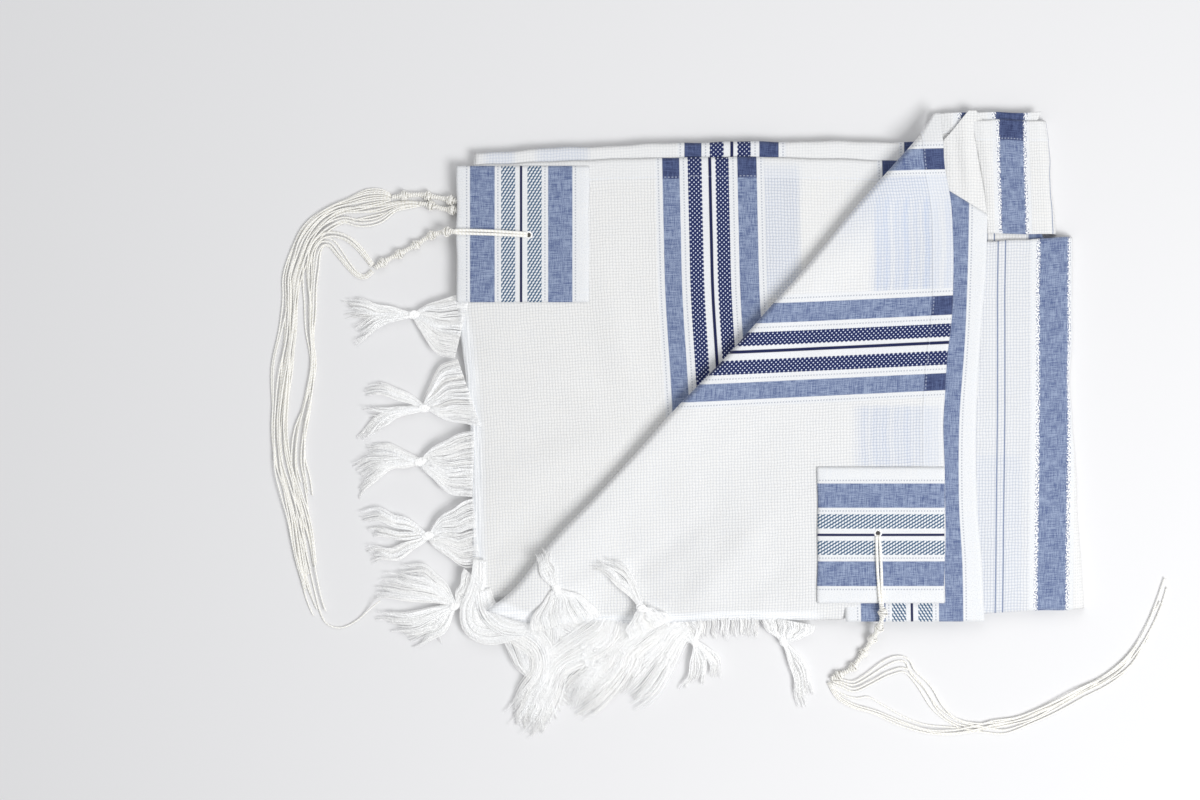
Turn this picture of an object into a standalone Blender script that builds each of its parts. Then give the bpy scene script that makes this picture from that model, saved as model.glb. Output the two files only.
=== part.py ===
"""A tallit prayer shawl, folded flat, with one corner turned back.

The cloth is folded in half across its width and in four along its length. Both fringed ends
lie at -X, the long folds at +X, and the half-width fold along -Y. The top layer is turned back
over a diagonal roll. Lengths are in millimetres; the meshes are made in metres, +Z up, with the
origin at the middle of the underside.
"""

import math

import bpy
import numpy as np
from mathutils import Vector

MM = 0.001

# Cloth
CLOTH = 1.2              # thickness of one layer of the gauze
PATCH = 1.0              # thickness of a sewn-on patch
GAP = 0.3                # clearance between layers that touch
CORE_HEIGHT = 7.0        # the hidden layers, pressed together

# Middle heights of the layers that show, from the underside up
BACK_LEVEL = CORE_HEIGHT + GAP + CLOTH / 2
FRONT_LEVEL = BACK_LEVEL + CLOTH + GAP
BAND_LEVEL = FRONT_LEVEL + CLOTH + GAP
FLAP_LEVEL = BAND_LEVEL + CLOTH + 2 * GAP
PATCH_LIFT = (CLOTH + PATCH) / 2 + GAP

# The diagonal roll of the flap
ROLL_RADIUS = 4.4        # inside the turn, where the cloth is full
ROLL_SETTLE = 34.0       # distance over which the flap settles onto the stack
LEG_LENGTH = 12.0        # how far the turned-under cloth runs back
LEG_SHARE = 0.34         # the most of a narrow row that the leg may take

# The wrapped right-hand folds
WRAP_RADIUS = 8.2
WRAP_STEPS = 5

# A slight common lie of the stack, so that no layer is dead flat
LIE_HEIGHT = 0.7
LIE_LENGTH_X = 210.0
LIE_LENGTH_Y = 170.0

# Cords
STEM = 4.6               # wound and knotted stem
LOCK_THICK = 4.4         # eight strands together
LOCK_THIN = 3.0          # four strands together
CORD_STEP = 2.9          # distance between a cord's points, in diameters

FLOOR_GAP = 0.2          # how far a loose cord or tassel clears the underside

# Stack outline, corner by corner: x, y, corner radius
CORE_CORNERS = (
    (-166, -126, 16),
    (262, -130, 12),
    (258, 20, 60),
    (256, 130, 8),
    (242, 136, 5),
    (238, 217, 9),
    (192, 217, 7),
    (184, 197, 8),
    (-165, 188, 10),
)

# Layered edge of the stack, from the underside up: height, inset
CORE_LAYERS = (
    (0.0, 2.6),
    (0.8, 0.5),
    (1.8, 0.4),
    (2.5, 2.3),
    (3.2, 0.6),
    (4.2, 0.5),
    (4.9, 2.5),
    (5.6, 1.2),
    (6.4, 1.4),
    (CORE_HEIGHT, 3.4),
)

# Panels, a row for each section: left x, left y, right x, right y
BACK_ROWS = (
    (-172, 197, 149, 205),
    (-172, 120, 150, 120),
    (-170, 0, 152, 0),
    (-166, -122, 154, -122),
)
FRONT_ROWS = (
    (-185, 187, 160, 190),
    (-184.5, 140, 162, 140),
    (-184.5, 90, 164, 90),
    (-178, 30, 165, 30),
    (-174.5, -12, 165, -12),
    (-173.5, -70, 165, -70),
    (-173, -127, 165, -127),
)
BAND_ROWS = (
    (168, 172, 200, 152),
    (126, 128, 199, 112),
    (98, 70, 195, 61),
    (95, 3, 192, 3),
    (95, -55, 192.5, -55),
    (97, -100, 196, -100),
    (97, -143, 198, -143),
)
TUCK_ROWS = (
    (181, 225, 187, 227),
    (171, 207, 190, 214),
    (172.5, 190, 193, 190),
    (175, 172.5, 194, 172),
    (188, 164, 194.6, 159),
)
UPPER_FRONT_ROWS = (
    (196, 221, 244, 220.5),
    (196, 190, 247, 190),
    (198, 165, 249.5, 165),
    (198, 138.5, 252, 137.5),
)
UPPER_REAR_ROWS = (
    (189, 228, 239.5, 227),
    (189, 219, 236.5, 219),
    (189, 196, 236, 196),
)
LOWER_ROWS = (
    (188, 132, 264, 136),
    (187, 90, 263, 90),
    (186, 18, 262.5, 18),
    (186, -27, 265.5, -27),
    (187, -75, 268, -72),
    (188, -138, 272, -133.5),
)

# The flap, a row for each section: y, x of the fold, x of the hemmed edge
FLAP_ROWS = (
    (219, 159.5, 165.0),
    (204, 148.5, 166.3),
    (185, 130.5, 167.5),
    (154, 102.0, 174.0),
    (114, 69.0, 175.0),
    (84, 42.0, 174.5),
    (48, 10.0, 170.5),
    (10, -27.0, 168.0),
    (-18, -52.0, 168.0),
    (-55, -86.0, 168.5),
    (-88, -119.0, 169.0),
    (-111, -138.0, 169.0),
    (-129, -155.0, 169.0),
)

# The flap's cut end hangs past the stack: middle, half width, how far, and how low
END_SAG = {"middle": -60.0, "half": 95.0, "reach": 17.0, "drop": 5.0}

# Corner patches: corner x, y (low left), then width and length
FRONT_PATCH = {"x": -184.3, "y": 88.5, "width": 95.5, "length": 98.5}
FLAP_PATCH = {"x": 76.5, "y": -129.0, "width": 91.5, "length": 97.5}

# Tassels: edge x, y, z, half width; knot x, y, z; tip x, y, z, half width
FRINGE_COLUMNS = ("edge_x", "edge_y", "edge_z", "edge_half",
                  "knot_x", "knot_y", "knot_z",
                  "tip_x", "tip_y", "tip_z", "tip_half")
FRINGE_TABLE = {
    "fringe_left_1": (-187.5, 70, 5.0, 19, -217, 80, 4.6, -271, 77, 2.6, 13),
    "fringe_left_2": (-184.0, 25, 5.0, 17, -205, 11, 4.6, -256, 15, 2.6, 12),
    "fringe_left_3": (-177.5, -33, 5.0, 17, -213, -27, 4.6, -263, -26, 2.6, 12),
    "fringe_left_4": (-176.0, -78, 5.0, 17, -205, -83, 4.6, -260, -78, 2.6, 12),
    "fringe_left_5": (-175.5, -114, 5.0, 11, -190, -125, 4.6, -243, -137, 2.6, 20),
    "fringe_end_1": (-119.0, -142, 21.0, 13, -114, -122, 24.5, -127, -88, 27.5, 6),
    "fringe_end_2": (-31.0, -149, 17.0, 14, -49, -136, 19.0, -87, -97, 20.5, 7),
    "fringe_end_3": (-104.0, -156, 4.0, 8, -106, -170, 4.4, -124, -228, 3.0, 16),
    "fringe_end_4": (-75.0, -157, 4.0, 12, -76, -171, 4.4, -60, -208, 3.0, 15),
    "fringe_end_5": (-37.0, -155, 4.0, 9, -18, -158, 4.4, -12, -195, 3.0, 9),
    "fringe_end_6": (16.0, -143, 4.6, 15, 16, -154, 3.6, 16, -165, 3.0, 14),
    "fringe_end_7": (56.0, -138, 4.6, 13, 56, -160, 4.4, 74, -208, 3.0, 7),
}
KNOT_RADIUS = 4.2
FRINGE_SIDES = 8

# Cord routes: x, y, z of each point, in the order in which the cord runs
STEM_ROUTES = {
    "tzitzit_front_stem": (
        (-132, 137, 13.95), (-158, 138.2, 13.95), (-184, 139.2, 13.95), (-190.5, 139.6, 11.6),
        (-197, 139, 6.6), (-205, 136.5, 2.9), (-215, 130.3, 2.6), (-228, 123.2, 2.6),
        (-237, 118.8, 2.6), (-244.5, 113.5, 2.6),
    ),
    "tzitzit_flap_stem": (
        (120, -79, 18.1), (121, -104, 18.1), (122, -129, 18.1), (123.5, -136, 17.2),
        (122.8, -142, 16.0), (121, -148, 12.8), (118.5, -154, 7.2), (115, -161, 3.0),
        (108.8, -170.4, 2.6), (102.2, -178.5, 2.6), (93.5, -183, 2.6), (87.5, -185.5, 2.6),
    ),
    "tzitzit_back_stem": (
        (-187.5, 162.4, 6.0), (-196.5, 164.4, 3.4), (-205, 166, 2.6), (-213.3, 167, 2.6),
        (-223, 166.4, 2.6), (-232, 165, 2.6),
    ),
    "tzitzit_inner_stem": (
        (-187.5, 155.4, 6.0), (-194.3, 156.6, 3.6), (-202, 159, 2.6), (-209, 160.6, 2.6),
    ),
}
LOCK_ROUTES = {
    "tzitzit_back_lock": (LOCK_THICK, (
        (-236, 164.6, 2.4), (-246, 164, 2.4), (-257, 162.5, 2.4), (-272, 158.5, 2.4),
        (-286, 151, 2.4), (-297, 140, 2.4), (-304, 126, 2.4), (-308.5, 108, 2.4),
        (-310, 91, 2.4), (-311.5, 68, 2.4), (-314.5, 43, 2.4), (-316.5, 17, 2.4),
        (-317.5, -4, 2.4), (-316, -29, 2.4), (-311, -50, 2.4), (-306.5, -68, 2.4),
        (-304, -86, 2.4), (-301, -102, 2.4), (-297, -118, 2.4), (-293, -131, 2.4),
        (-288.5, -142, 2.4),
    )),
    "tzitzit_inner_lock": (LOCK_THICK, (
        (-213.5, 160.2, 2.4), (-224, 158.8, 2.4), (-235, 157.8, 2.4), (-246, 156.6, 2.4),
        (-257, 155, 2.4), (-270, 151.8, 2.4), (-282.5, 145, 2.4), (-291.5, 135.6, 2.4),
        (-298, 123, 2.4), (-302.5, 107, 2.4), (-304, 91, 2.4), (-305.5, 68, 2.4),
        (-308.5, 43, 2.4), (-310.5, 17, 2.4), (-311.5, -4, 2.4), (-310, -28, 2.4),
        (-305, -48, 2.4), (-300.5, -67, 2.4), (-298, -85, 2.4), (-295, -101, 2.4),
        (-291, -117, 2.4), (-286.5, -131, 2.4), (-280, -143, 2.4), (-272, -148.5, 2.4),
        (-262, -147.5, 2.4), (-254, -141, 2.4),
    )),
    "tzitzit_front_lock_1": (LOCK_THIN, (
        (-248, 116.4, 1.7), (-256, 127.5, 1.7), (-265, 135, 1.7), (-275, 137.6, 1.7),
        (-283, 134.6, 1.7), (-289, 126.5, 1.7), (-293, 114, 1.7), (-296, 100, 1.7),
        (-298, 85, 1.7), (-299.5, 66, 1.7), (-302, 43, 1.7), (-304, 17, 1.7),
        (-305, -4, 1.7), (-303.5, -27, 1.7), (-299, -46, 1.7), (-295, -65, 1.7),
        (-292.5, -84, 1.7), (-289.5, -100, 1.7), (-286, -114, 1.7), (-283, -124, 1.7),
    )),
    "tzitzit_front_lock_2": (LOCK_THIN, (
        (-248.5, 110.4, 1.7), (-253, 107.6, 1.7), (-258, 109.5, 1.7), (-264, 116, 1.7),
        (-270, 124, 1.7), (-275.5, 130.4, 1.7), (-281, 129, 1.7), (-285, 122.5, 1.7),
        (-288, 112, 1.7), (-289.5, 100, 1.7), (-291.5, 85, 1.7), (-291, 66, 1.7),
        (-293.5, 43, 1.7), (-296, 17, 1.7), (-298, -4, 1.7), (-297, -26, 1.7),
        (-292.5, -44, 1.7), (-289.5, -62, 1.7),
    )),
    "tzitzit_flap_lock_1": (LOCK_THIN, (
        (89, -190.6, 1.7), (97, -189.4, 1.7), (105, -187.6, 1.7), (114, -183.4, 1.7),
        (126, -176.5, 1.7), (137, -173, 1.7), (145, -176, 1.7), (150, -184.5, 1.7),
        (160, -197, 1.7), (171, -209.5, 1.7), (185, -217, 1.7), (203, -219.6, 1.7),
        (223, -215.6, 1.7), (240, -208.6, 1.7), (256, -200.4, 1.7), (272, -191.4, 1.7),
        (289, -181.6, 1.7), (302, -170, 1.7), (313, -154.6, 1.7), (322, -137, 1.7),
        (331, -116, 1.7), (335, -104, 1.7),
    )),
    "tzitzit_flap_lock_2": (LOCK_THIN, (
        (84.5, -192.6, 1.7), (91.5, -199.6, 1.7), (104.5, -205.6, 1.7), (120.5, -210.5, 1.7),
        (139.5, -217.4, 1.7), (158.5, -222.6, 1.7), (177, -225.2, 1.7), (196, -225.4, 1.7),
        (216, -223.4, 1.7), (236, -216.6, 1.7), (253, -209, 1.7), (270, -199, 1.7),
        (289, -188.4, 1.7), (304, -176.6, 1.7), (315, -161, 1.7), (324, -145, 1.7),
        (330, -133, 1.7),
    )),
}

WHITE = (0.86, 0.86, 0.85, 1.0)
IVORY = (0.80, 0.78, 0.73, 1.0)
STRIPED = (0.42, 0.50, 0.68, 1.0)


def clear_scene():
    """Removes whatever objects the open scene holds."""
    for item in list(bpy.data.objects):
        bpy.data.objects.remove(item, do_unlink=True)


def make_material(name, colour, roughness):
    """Makes a plain Principled material for a textile."""
    material = bpy.data.materials.new(name)
    material.use_nodes = True
    shader = material.node_tree.nodes["Principled BSDF"]
    shader.inputs["Base Color"].default_value = colour
    shader.inputs["Roughness"].default_value = roughness
    shader.inputs["Metallic"].default_value = 0.0
    return material


def add_object(name, mesh, material):
    """Links a mesh into the scene as one named object."""
    item = bpy.data.objects.new(name, mesh)
    bpy.context.scene.collection.objects.link(item)
    mesh.materials.append(material)
    return item


def smooth_rows(rows, count):
    """Reads a table at `count` even places along a smooth curve through its rows."""
    table = np.array(rows, dtype=float)
    padded = np.vstack([2 * table[0] - table[1], table, 2 * table[-1] - table[-2]])
    place = np.linspace(0, len(table) - 1, count)
    first = np.minimum(place.astype(int), len(table) - 2)
    t = (place - first)[:, None]
    before, start, end, after = (padded[first + k] for k in range(4))
    slope_in = (end - before) / 2
    slope_out = (after - start) / 2
    return ((2 * t**3 - 3 * t**2 + 1) * start + (t**3 - 2 * t**2 + t) * slope_in
            + (3 * t**2 - 2 * t**3) * end + (t**3 - t**2) * slope_out)


def lie(x, y):
    """The slight common rise and fall of the stack's layers, never below zero."""
    wave_x = np.sin(math.pi * np.asarray(x) / LIE_LENGTH_X + 0.6)
    wave_y = np.sin(math.pi * np.asarray(y) / LIE_LENGTH_Y + 1.1)
    return LIE_HEIGHT * (0.5 + 0.25 * wave_x + 0.25 * wave_y)


def grid_normals(grid):
    """Unit normals of a grid of points, upwards where its rows run to -Y and columns to +X."""
    along = np.gradient(grid, axis=0)
    across = np.gradient(grid, axis=1)
    normal = np.cross(along, across)
    return normal / np.linalg.norm(normal, axis=2, keepdims=True)


def wall_mesh(name, grid, thickness):
    """Closes a grid of middle points, in millimetres, into a wall of even thickness."""
    rows, columns = grid.shape[:2]
    offset = grid_normals(grid) * (thickness / 2)
    points = np.concatenate([(grid + offset).reshape(-1, 3), (grid - offset).reshape(-1, 3)])
    under = rows * columns
    faces = []
    for r in range(rows - 1):
        for c in range(columns - 1):
            a = r * columns + c
            faces.append((a, a + columns, a + columns + 1, a + 1))
            faces.append((under + a, under + a + 1, under + a + columns + 1, under + a + columns))
    top_edge = [c for c in range(columns)]
    right_edge = [r * columns + columns - 1 for r in range(1, rows)]
    low_edge = [(rows - 1) * columns + c for c in range(columns - 2, -1, -1)]
    left_edge = [r * columns for r in range(rows - 2, 0, -1)]
    rim = top_edge + right_edge + low_edge + left_edge
    for here, there in zip(rim, rim[1:] + rim[:1]):
        faces.append((here, there, under + there, under + here))
    mesh = bpy.data.meshes.new(name)
    mesh.from_pydata((points * MM).tolist(), [], faces)
    mesh.shade_smooth()
    mesh.set_sharp_from_angle(angle=math.radians(50))
    return mesh


def panel_grid(rows, row_count, column_count):
    """Spreads a panel table into a flat grid of x, y points, from its left edge to its right."""
    edges = smooth_rows(rows, row_count)
    share = np.linspace(0, 1, column_count)[None, :, None]
    return edges[:, None, 0:2] * (1 - share) + edges[:, None, 2:4] * share


def lying_panel(name, rows, level, material, row_count=9, column_count=9, rise=0.0):
    """Adds a panel that lies on the stack; its top edge bows out by `rise`."""
    flat = panel_grid(rows, row_count, column_count)
    bow = np.sin(math.pi * np.linspace(0, 1, column_count))
    fade = np.linspace(1, 0, row_count)[:, None] ** 3
    flat[:, :, 1] += rise * fade * bow
    z = level + lie(flat[:, :, 0], flat[:, :, 1])
    grid = np.dstack([flat, z])
    return add_object(name, wall_mesh(name, grid, CLOTH), material)


def wrapped_fold(name, rows, level, material, row_count=9):
    """Adds a panel that lies on the stack and wraps down over its right side."""
    edges = smooth_rows(rows, row_count)
    sections = []
    for left_x, left_y, right_x, right_y in edges:
        flat_share = np.linspace(0, 1, WRAP_STEPS)
        turn = np.linspace(0, math.pi / 2, WRAP_STEPS + 1)[1:]
        centre_x = right_x - WRAP_RADIUS
        x = np.concatenate([left_x + (centre_x - left_x) * flat_share,
                            centre_x + WRAP_RADIUS * np.sin(turn)])
        y = left_y + (right_y - left_y) * (x - left_x) / (right_x - left_x)
        height = level + lie(centre_x, left_y) - CLOTH / 2 - FLOOR_GAP
        drop = np.concatenate([np.zeros(WRAP_STEPS), height * (1 - np.cos(turn))])
        z = level + lie(np.minimum(x, centre_x), y) - drop
        sections.append(np.column_stack([x, y, z]))
    return add_object(name, wall_mesh(name, np.array(sections), CLOTH), material)


def folded_core(name, material):
    """Adds the hidden layers: one solid whose rounded edges are stepped like stacked folds."""
    ring = rounded_outline(CORE_CORNERS)
    ahead = np.roll(ring, -1, axis=0) - ring
    behind = ring - np.roll(ring, 1, axis=0)
    heading = (ahead / np.linalg.norm(ahead, axis=1, keepdims=True)
               + behind / np.linalg.norm(behind, axis=1, keepdims=True))
    heading /= np.linalg.norm(heading, axis=1, keepdims=True)
    inward = np.column_stack([-heading[:, 1], heading[:, 0]])
    count = len(ring)
    points = []
    for height, inset in CORE_LAYERS:
        level = np.full(count, height)
        points.append(np.column_stack([ring + inward * inset, level]))
    faces = [tuple(range(count - 1, -1, -1))]
    for layer in range(len(CORE_LAYERS) - 1):
        for here in range(count):
            there = (here + 1) % count
            low = layer * count
            faces.append((low + here, low + there, low + count + there, low + count + here))
    last = (len(CORE_LAYERS) - 1) * count
    faces.append(tuple(range(last, last + count)))
    mesh = bpy.data.meshes.new(name)
    mesh.from_pydata((np.concatenate(points) * MM).tolist(), [], faces)
    return add_object(name, mesh, material)


def rounded_outline(corners, steps=3):
    """Rounds each corner of a counterclockwise outline with an arc of its own radius."""
    outline = []
    for index, (x, y, radius) in enumerate(corners):
        here = Vector((x, y))
        before = (Vector(corners[index - 1][:2]) - here).normalized()
        after = (Vector(corners[(index + 1) % len(corners)][:2]) - here).normalized()
        half = before.angle(after) / 2
        reach = radius / math.tan(half)
        centre = here + (before + after).normalized() * (radius / math.sin(half))
        start = here + before * reach - centre
        end = here + after * reach - centre
        for step in range(steps + 1):
            arm = start.lerp(end, step / steps).normalized() * radius
            outline.append(tuple(centre + arm))
    return np.array(outline)


def front_flap(name, material):
    """Adds the turned-back layer: a leg under the roll, the roll, then the flap to its hem."""
    table = smooth_rows(FLAP_ROWS, 22)
    sections = []
    for y, fold_x, edge_x in table:
        width = edge_x - fold_x
        radius = min(ROLL_RADIUS, width * 0.2)
        leg = min(LEG_LENGTH, width * LEG_SHARE)
        turn = np.radians([-90, -45, 0, 45, 90])
        roll_x = fold_x + radius * (1 - np.cos(turn))
        roll_z = radius * (1 + np.sin(turn))
        share = np.array([0.0, 0.07, 0.15, 0.27, 0.42, 0.58, 0.75, 0.9, 1.0])[1:]
        top_x = fold_x + radius + (width - radius) * share
        settle = np.exp(-((top_x - fold_x - radius) / ROLL_SETTLE) ** 2)
        x = np.concatenate([[fold_x + radius + leg], roll_x, top_x])
        z = np.concatenate([[0.0], roll_z, 2 * radius * settle])
        sections.append(np.column_stack([x, np.full(len(x), y), z]))
    grid = np.array(sections)
    grid[:, :, 2] += FLAP_LEVEL + lie(grid[:, :, 0], grid[:, :, 1])
    hang = np.clip(1 - np.abs(grid[:, :, 0] - END_SAG["middle"]) / END_SAG["half"], 0, 1)
    hang = hang**2 * (3 - 2 * hang)
    nearness = np.clip((-70 - grid[:, :, 1]) / 59, 0, 1) ** 2
    hang[:, 0] = hang[:, 1]
    grid[:, :, 1] -= END_SAG["reach"] * hang * nearness
    past = np.clip((-128 - grid[:, :, 1]) / END_SAG["reach"], 0, 1)
    grid[:, :, 2] -= END_SAG["drop"] * past
    return add_object(name, wall_mesh(name, grid, CLOTH), material)


def corner_patch(name, place, level, material):
    """Adds a square patch on a panel, following the panel's own lie."""
    x = place["x"] + np.linspace(0, place["width"], 5)
    y = place["y"] + np.linspace(place["length"], 0, 5)
    across, along = np.meshgrid(x, y)
    grid = np.dstack([across, along, level + PATCH_LIFT + lie(across, along)])
    return add_object(name, wall_mesh(name, grid, PATCH), material)


def fringe_tassel(name, row, material):
    """Adds a tassel's reach: a fan at the cloth's edge, a knot, and a tail that spreads."""
    spec = dict(zip(FRINGE_COLUMNS, row))
    edge = np.array([spec["edge_x"], spec["edge_y"], spec["edge_z"]])
    knot = np.array([spec["knot_x"], spec["knot_y"], spec["knot_z"]])
    tip = np.array([spec["tip_x"], spec["tip_y"], spec["tip_z"]])
    tail_half = spec["tip_half"]
    sections = (
        (edge, spec["edge_half"], 1.2),
        (edge * 0.5 + knot * 0.5, spec["edge_half"] * 0.55, 2.2),
        (knot * 0.86 + edge * 0.14, KNOT_RADIUS * 0.8, 2.8),
        (knot, KNOT_RADIUS, 3.9),
        (knot * 0.88 + tip * 0.12, KNOT_RADIUS * 0.75, 3.0),
        (knot * 0.55 + tip * 0.45, tail_half * 0.85, 2.6),
        (knot * 0.2 + tip * 0.8, tail_half, 2.2),
        (tip, tail_half * 0.8, 1.2),
    )
    heading = tip[:2] - edge[:2]
    heading /= np.linalg.norm(heading)
    side = np.array([-heading[1], heading[0], 0.0])
    centres = np.array([section[0] for section in sections])
    tangents = np.gradient(centres, axis=0)
    turns = 2 * math.pi * np.arange(FRINGE_SIDES) / FRINGE_SIDES
    points = []
    for (centre, half, depth), tangent in zip(sections, tangents):
        up = np.cross(tangent, side)
        up /= np.linalg.norm(up)
        lift = np.array([0.0, 0.0, max(0.0, depth + FLOOR_GAP - centre[2])])
        for turn in turns:
            points.append(centre + lift + side * half * math.cos(turn) + up * depth * math.sin(turn))
    count = FRINGE_SIDES
    faces = [tuple(range(count - 1, -1, -1)), tuple(range(len(points) - count, len(points)))]
    for ring in range(len(sections) - 1):
        for here in range(count):
            there = (here + 1) % count
            low = ring * count
            faces.append((low + here, low + there, low + count + there, low + count + here))
    mesh = bpy.data.meshes.new(name)
    mesh.from_pydata((np.array(points) * MM).tolist(), [], faces)
    mesh.shade_smooth()
    return add_object(name, mesh, material)


def cord_tube(name, route, diameter, material):
    """Adds a cord as a round tube on a smooth curve through its route's points."""
    fine = smooth_rows(route, 40 * len(route))
    steps = np.linalg.norm(np.diff(fine, axis=0), axis=1)
    walked = np.concatenate([[0.0], np.cumsum(steps)])
    count = max(3, round(walked[-1] / (CORD_STEP * diameter)) + 1)
    marks = np.linspace(0, walked[-1], count)
    points = np.column_stack([np.interp(marks, walked, fine[:, axis]) for axis in range(3)])
    curve = bpy.data.curves.new(name, "CURVE")
    curve.dimensions = "3D"
    curve.bevel_depth = diameter / 2 * MM
    curve.bevel_resolution = 2
    curve.use_fill_caps = True
    spline = curve.splines.new("POLY")
    spline.points.add(count - 1)
    for target, point in zip(spline.points, points * MM):
        target.co = (*point, 1.0)
    return add_object(name, curve, material)


def build_cloth(white, striped):
    """Adds the main cloth's stretches and what is sewn on them."""
    folded_core("folded_core", white)
    lying_panel("back_panel", BACK_ROWS, BACK_LEVEL, white, rise=3.5)
    lying_panel("front_panel", FRONT_ROWS, FRONT_LEVEL, white, row_count=13, rise=5.0)
    lying_panel("neckband", BAND_ROWS, BAND_LEVEL, striped, row_count=12, column_count=5)
    lying_panel("tucked_fold", TUCK_ROWS, BAND_LEVEL, white, row_count=8, column_count=5)
    lying_panel("right_upper_rear", UPPER_REAR_ROWS, BACK_LEVEL, white, row_count=4, column_count=5)
    wrapped_fold("right_upper_front", UPPER_FRONT_ROWS, FRONT_LEVEL, white, row_count=6)
    wrapped_fold("right_lower_fold", LOWER_ROWS, FRONT_LEVEL, white, row_count=12)
    front_flap("front_flap", white)
    corner_patch("patch_front", FRONT_PATCH, FRONT_LEVEL, striped)
    corner_patch("patch_flap", FLAP_PATCH, FLAP_LEVEL, striped)


def main():
    """Builds every piece of the folded shawl."""
    clear_scene()
    white = make_material("gauze_white", WHITE, 0.85)
    striped = make_material("striped_weave", STRIPED, 0.8)
    fringe = make_material("fringe_cotton", WHITE, 0.9)
    yarn = make_material("tzitzit_yarn", IVORY, 0.75)
    build_cloth(white, striped)
    for name, row in FRINGE_TABLE.items():
        fringe_tassel(name, row, fringe)
    for name, route in STEM_ROUTES.items():
        cord_tube(name, route, STEM, yarn)
    for name, (diameter, route) in LOCK_ROUTES.items():
        cord_tube(name, route, diameter, yarn)


if __name__ == "__main__":
    main()
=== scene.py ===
"""Looks of a tallit prayer shawl, folded flat with one corner turned back over a diagonal.

Sizes are in millimetres in the frame's own axes: +X from the fringed ends towards the long
folds, +Y towards the selvedges, +Z up. Meshes are made in metres.
"""

import logging
import math
from dataclasses import dataclass, field
from enum import Enum

import bpy
import numpy as np
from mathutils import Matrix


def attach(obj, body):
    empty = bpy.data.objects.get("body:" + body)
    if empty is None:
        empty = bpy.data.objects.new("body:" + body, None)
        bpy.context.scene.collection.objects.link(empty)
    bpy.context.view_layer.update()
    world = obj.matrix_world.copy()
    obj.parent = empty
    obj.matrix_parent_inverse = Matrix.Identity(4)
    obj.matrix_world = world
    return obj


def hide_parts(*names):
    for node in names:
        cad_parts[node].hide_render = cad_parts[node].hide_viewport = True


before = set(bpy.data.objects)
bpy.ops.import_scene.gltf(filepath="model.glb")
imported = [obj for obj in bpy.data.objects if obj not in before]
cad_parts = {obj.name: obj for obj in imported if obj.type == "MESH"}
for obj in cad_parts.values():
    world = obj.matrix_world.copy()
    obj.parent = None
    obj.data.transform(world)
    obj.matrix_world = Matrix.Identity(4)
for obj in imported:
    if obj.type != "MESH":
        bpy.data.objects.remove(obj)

MM = 0.001
BODY = "root"
LOG = logging.getLogger("tallit")
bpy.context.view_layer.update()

Row = tuple[float, ...]
Tubes = tuple[np.ndarray, list[np.ndarray], np.ndarray]
Surface = tuple[np.ndarray, np.ndarray, np.ndarray]


# ---------------------------------------------------------------------------------------------
# Surfaces
# ---------------------------------------------------------------------------------------------

def smooth_keys(keys: np.ndarray, places: np.ndarray) -> np.ndarray:
    """Reads key rows at places between 0 and 1 on a smooth curve through them.

    Each stretch is a cubic whose slopes at its two rows are half the step between their
    neighbours, so the curve passes through every row without a corner.

    Args:
        keys: rows of any columns, first axis along the curve.
        places: where to read, 0 at the first row and 1 at the last.

    Returns:
        One row for each place.
    """
    table = np.asarray(keys, dtype=float)
    padded = np.concatenate([2 * table[:1] - table[1:2], table, 2 * table[-1:] - table[-2:-1]])
    where = np.clip(places, 0, 1) * (len(table) - 1)
    first = np.minimum(where.astype(int), len(table) - 2)
    t = (where - first).reshape((-1,) + (1,) * (table.ndim - 1))
    before, start, end, after = (padded[first + k] for k in range(4))
    slope_in = (end - before) / 2
    slope_out = (after - start) / 2
    return ((2 * t**3 - 3 * t**2 + 1) * start + (t**3 - 2 * t**2 + t) * slope_in
            + (3 * t**2 - 2 * t**3) * end + (t**3 - t**2) * slope_out)


def drift(x: np.ndarray, y: np.ndarray, length: float, seed: int) -> np.ndarray:
    """Gives a soft unevenness: the mean of seven plane waves of seeded heading and phase.

    Args:
        x: places along X, in millimetres.
        y: places along Y, in millimetres.
        length: typical distance from crest to crest.
        seed: picks the waves.

    Returns:
        Heights between about -1 and 1.
    """
    rng = np.random.default_rng(seed)
    heading = rng.uniform(0, 2 * math.pi, 7)
    phase = rng.uniform(0, 2 * math.pi, 7)
    number = 2 * math.pi / (length * rng.uniform(0.6, 1.6, 7))
    along = np.multiply.outer(x, np.cos(heading)) + np.multiply.outer(y, np.sin(heading))
    return np.sin(along * number + phase).mean(axis=-1) * 1.6


def ease(value: np.ndarray, low: float, high: float) -> np.ndarray:
    """Rises smoothly from 0 at low to 1 at high."""
    t = np.clip((value - low) / (high - low), 0, 1)
    return t * t * (3 - 2 * t)


def span(value: np.ndarray, low: float, high: float, soft: float) -> np.ndarray:
    """One between low and high, eased to zero over a soft edge at each."""
    return ease(value, low - soft, low + soft) * ease(-value, -high - soft, -high + soft)


def hump(value: np.ndarray, middle: float, half: float) -> np.ndarray:
    """A soft bell, 1 at the middle and near 0 at twice the half width."""
    return np.exp(-((value - middle) / half) ** 2)


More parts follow.
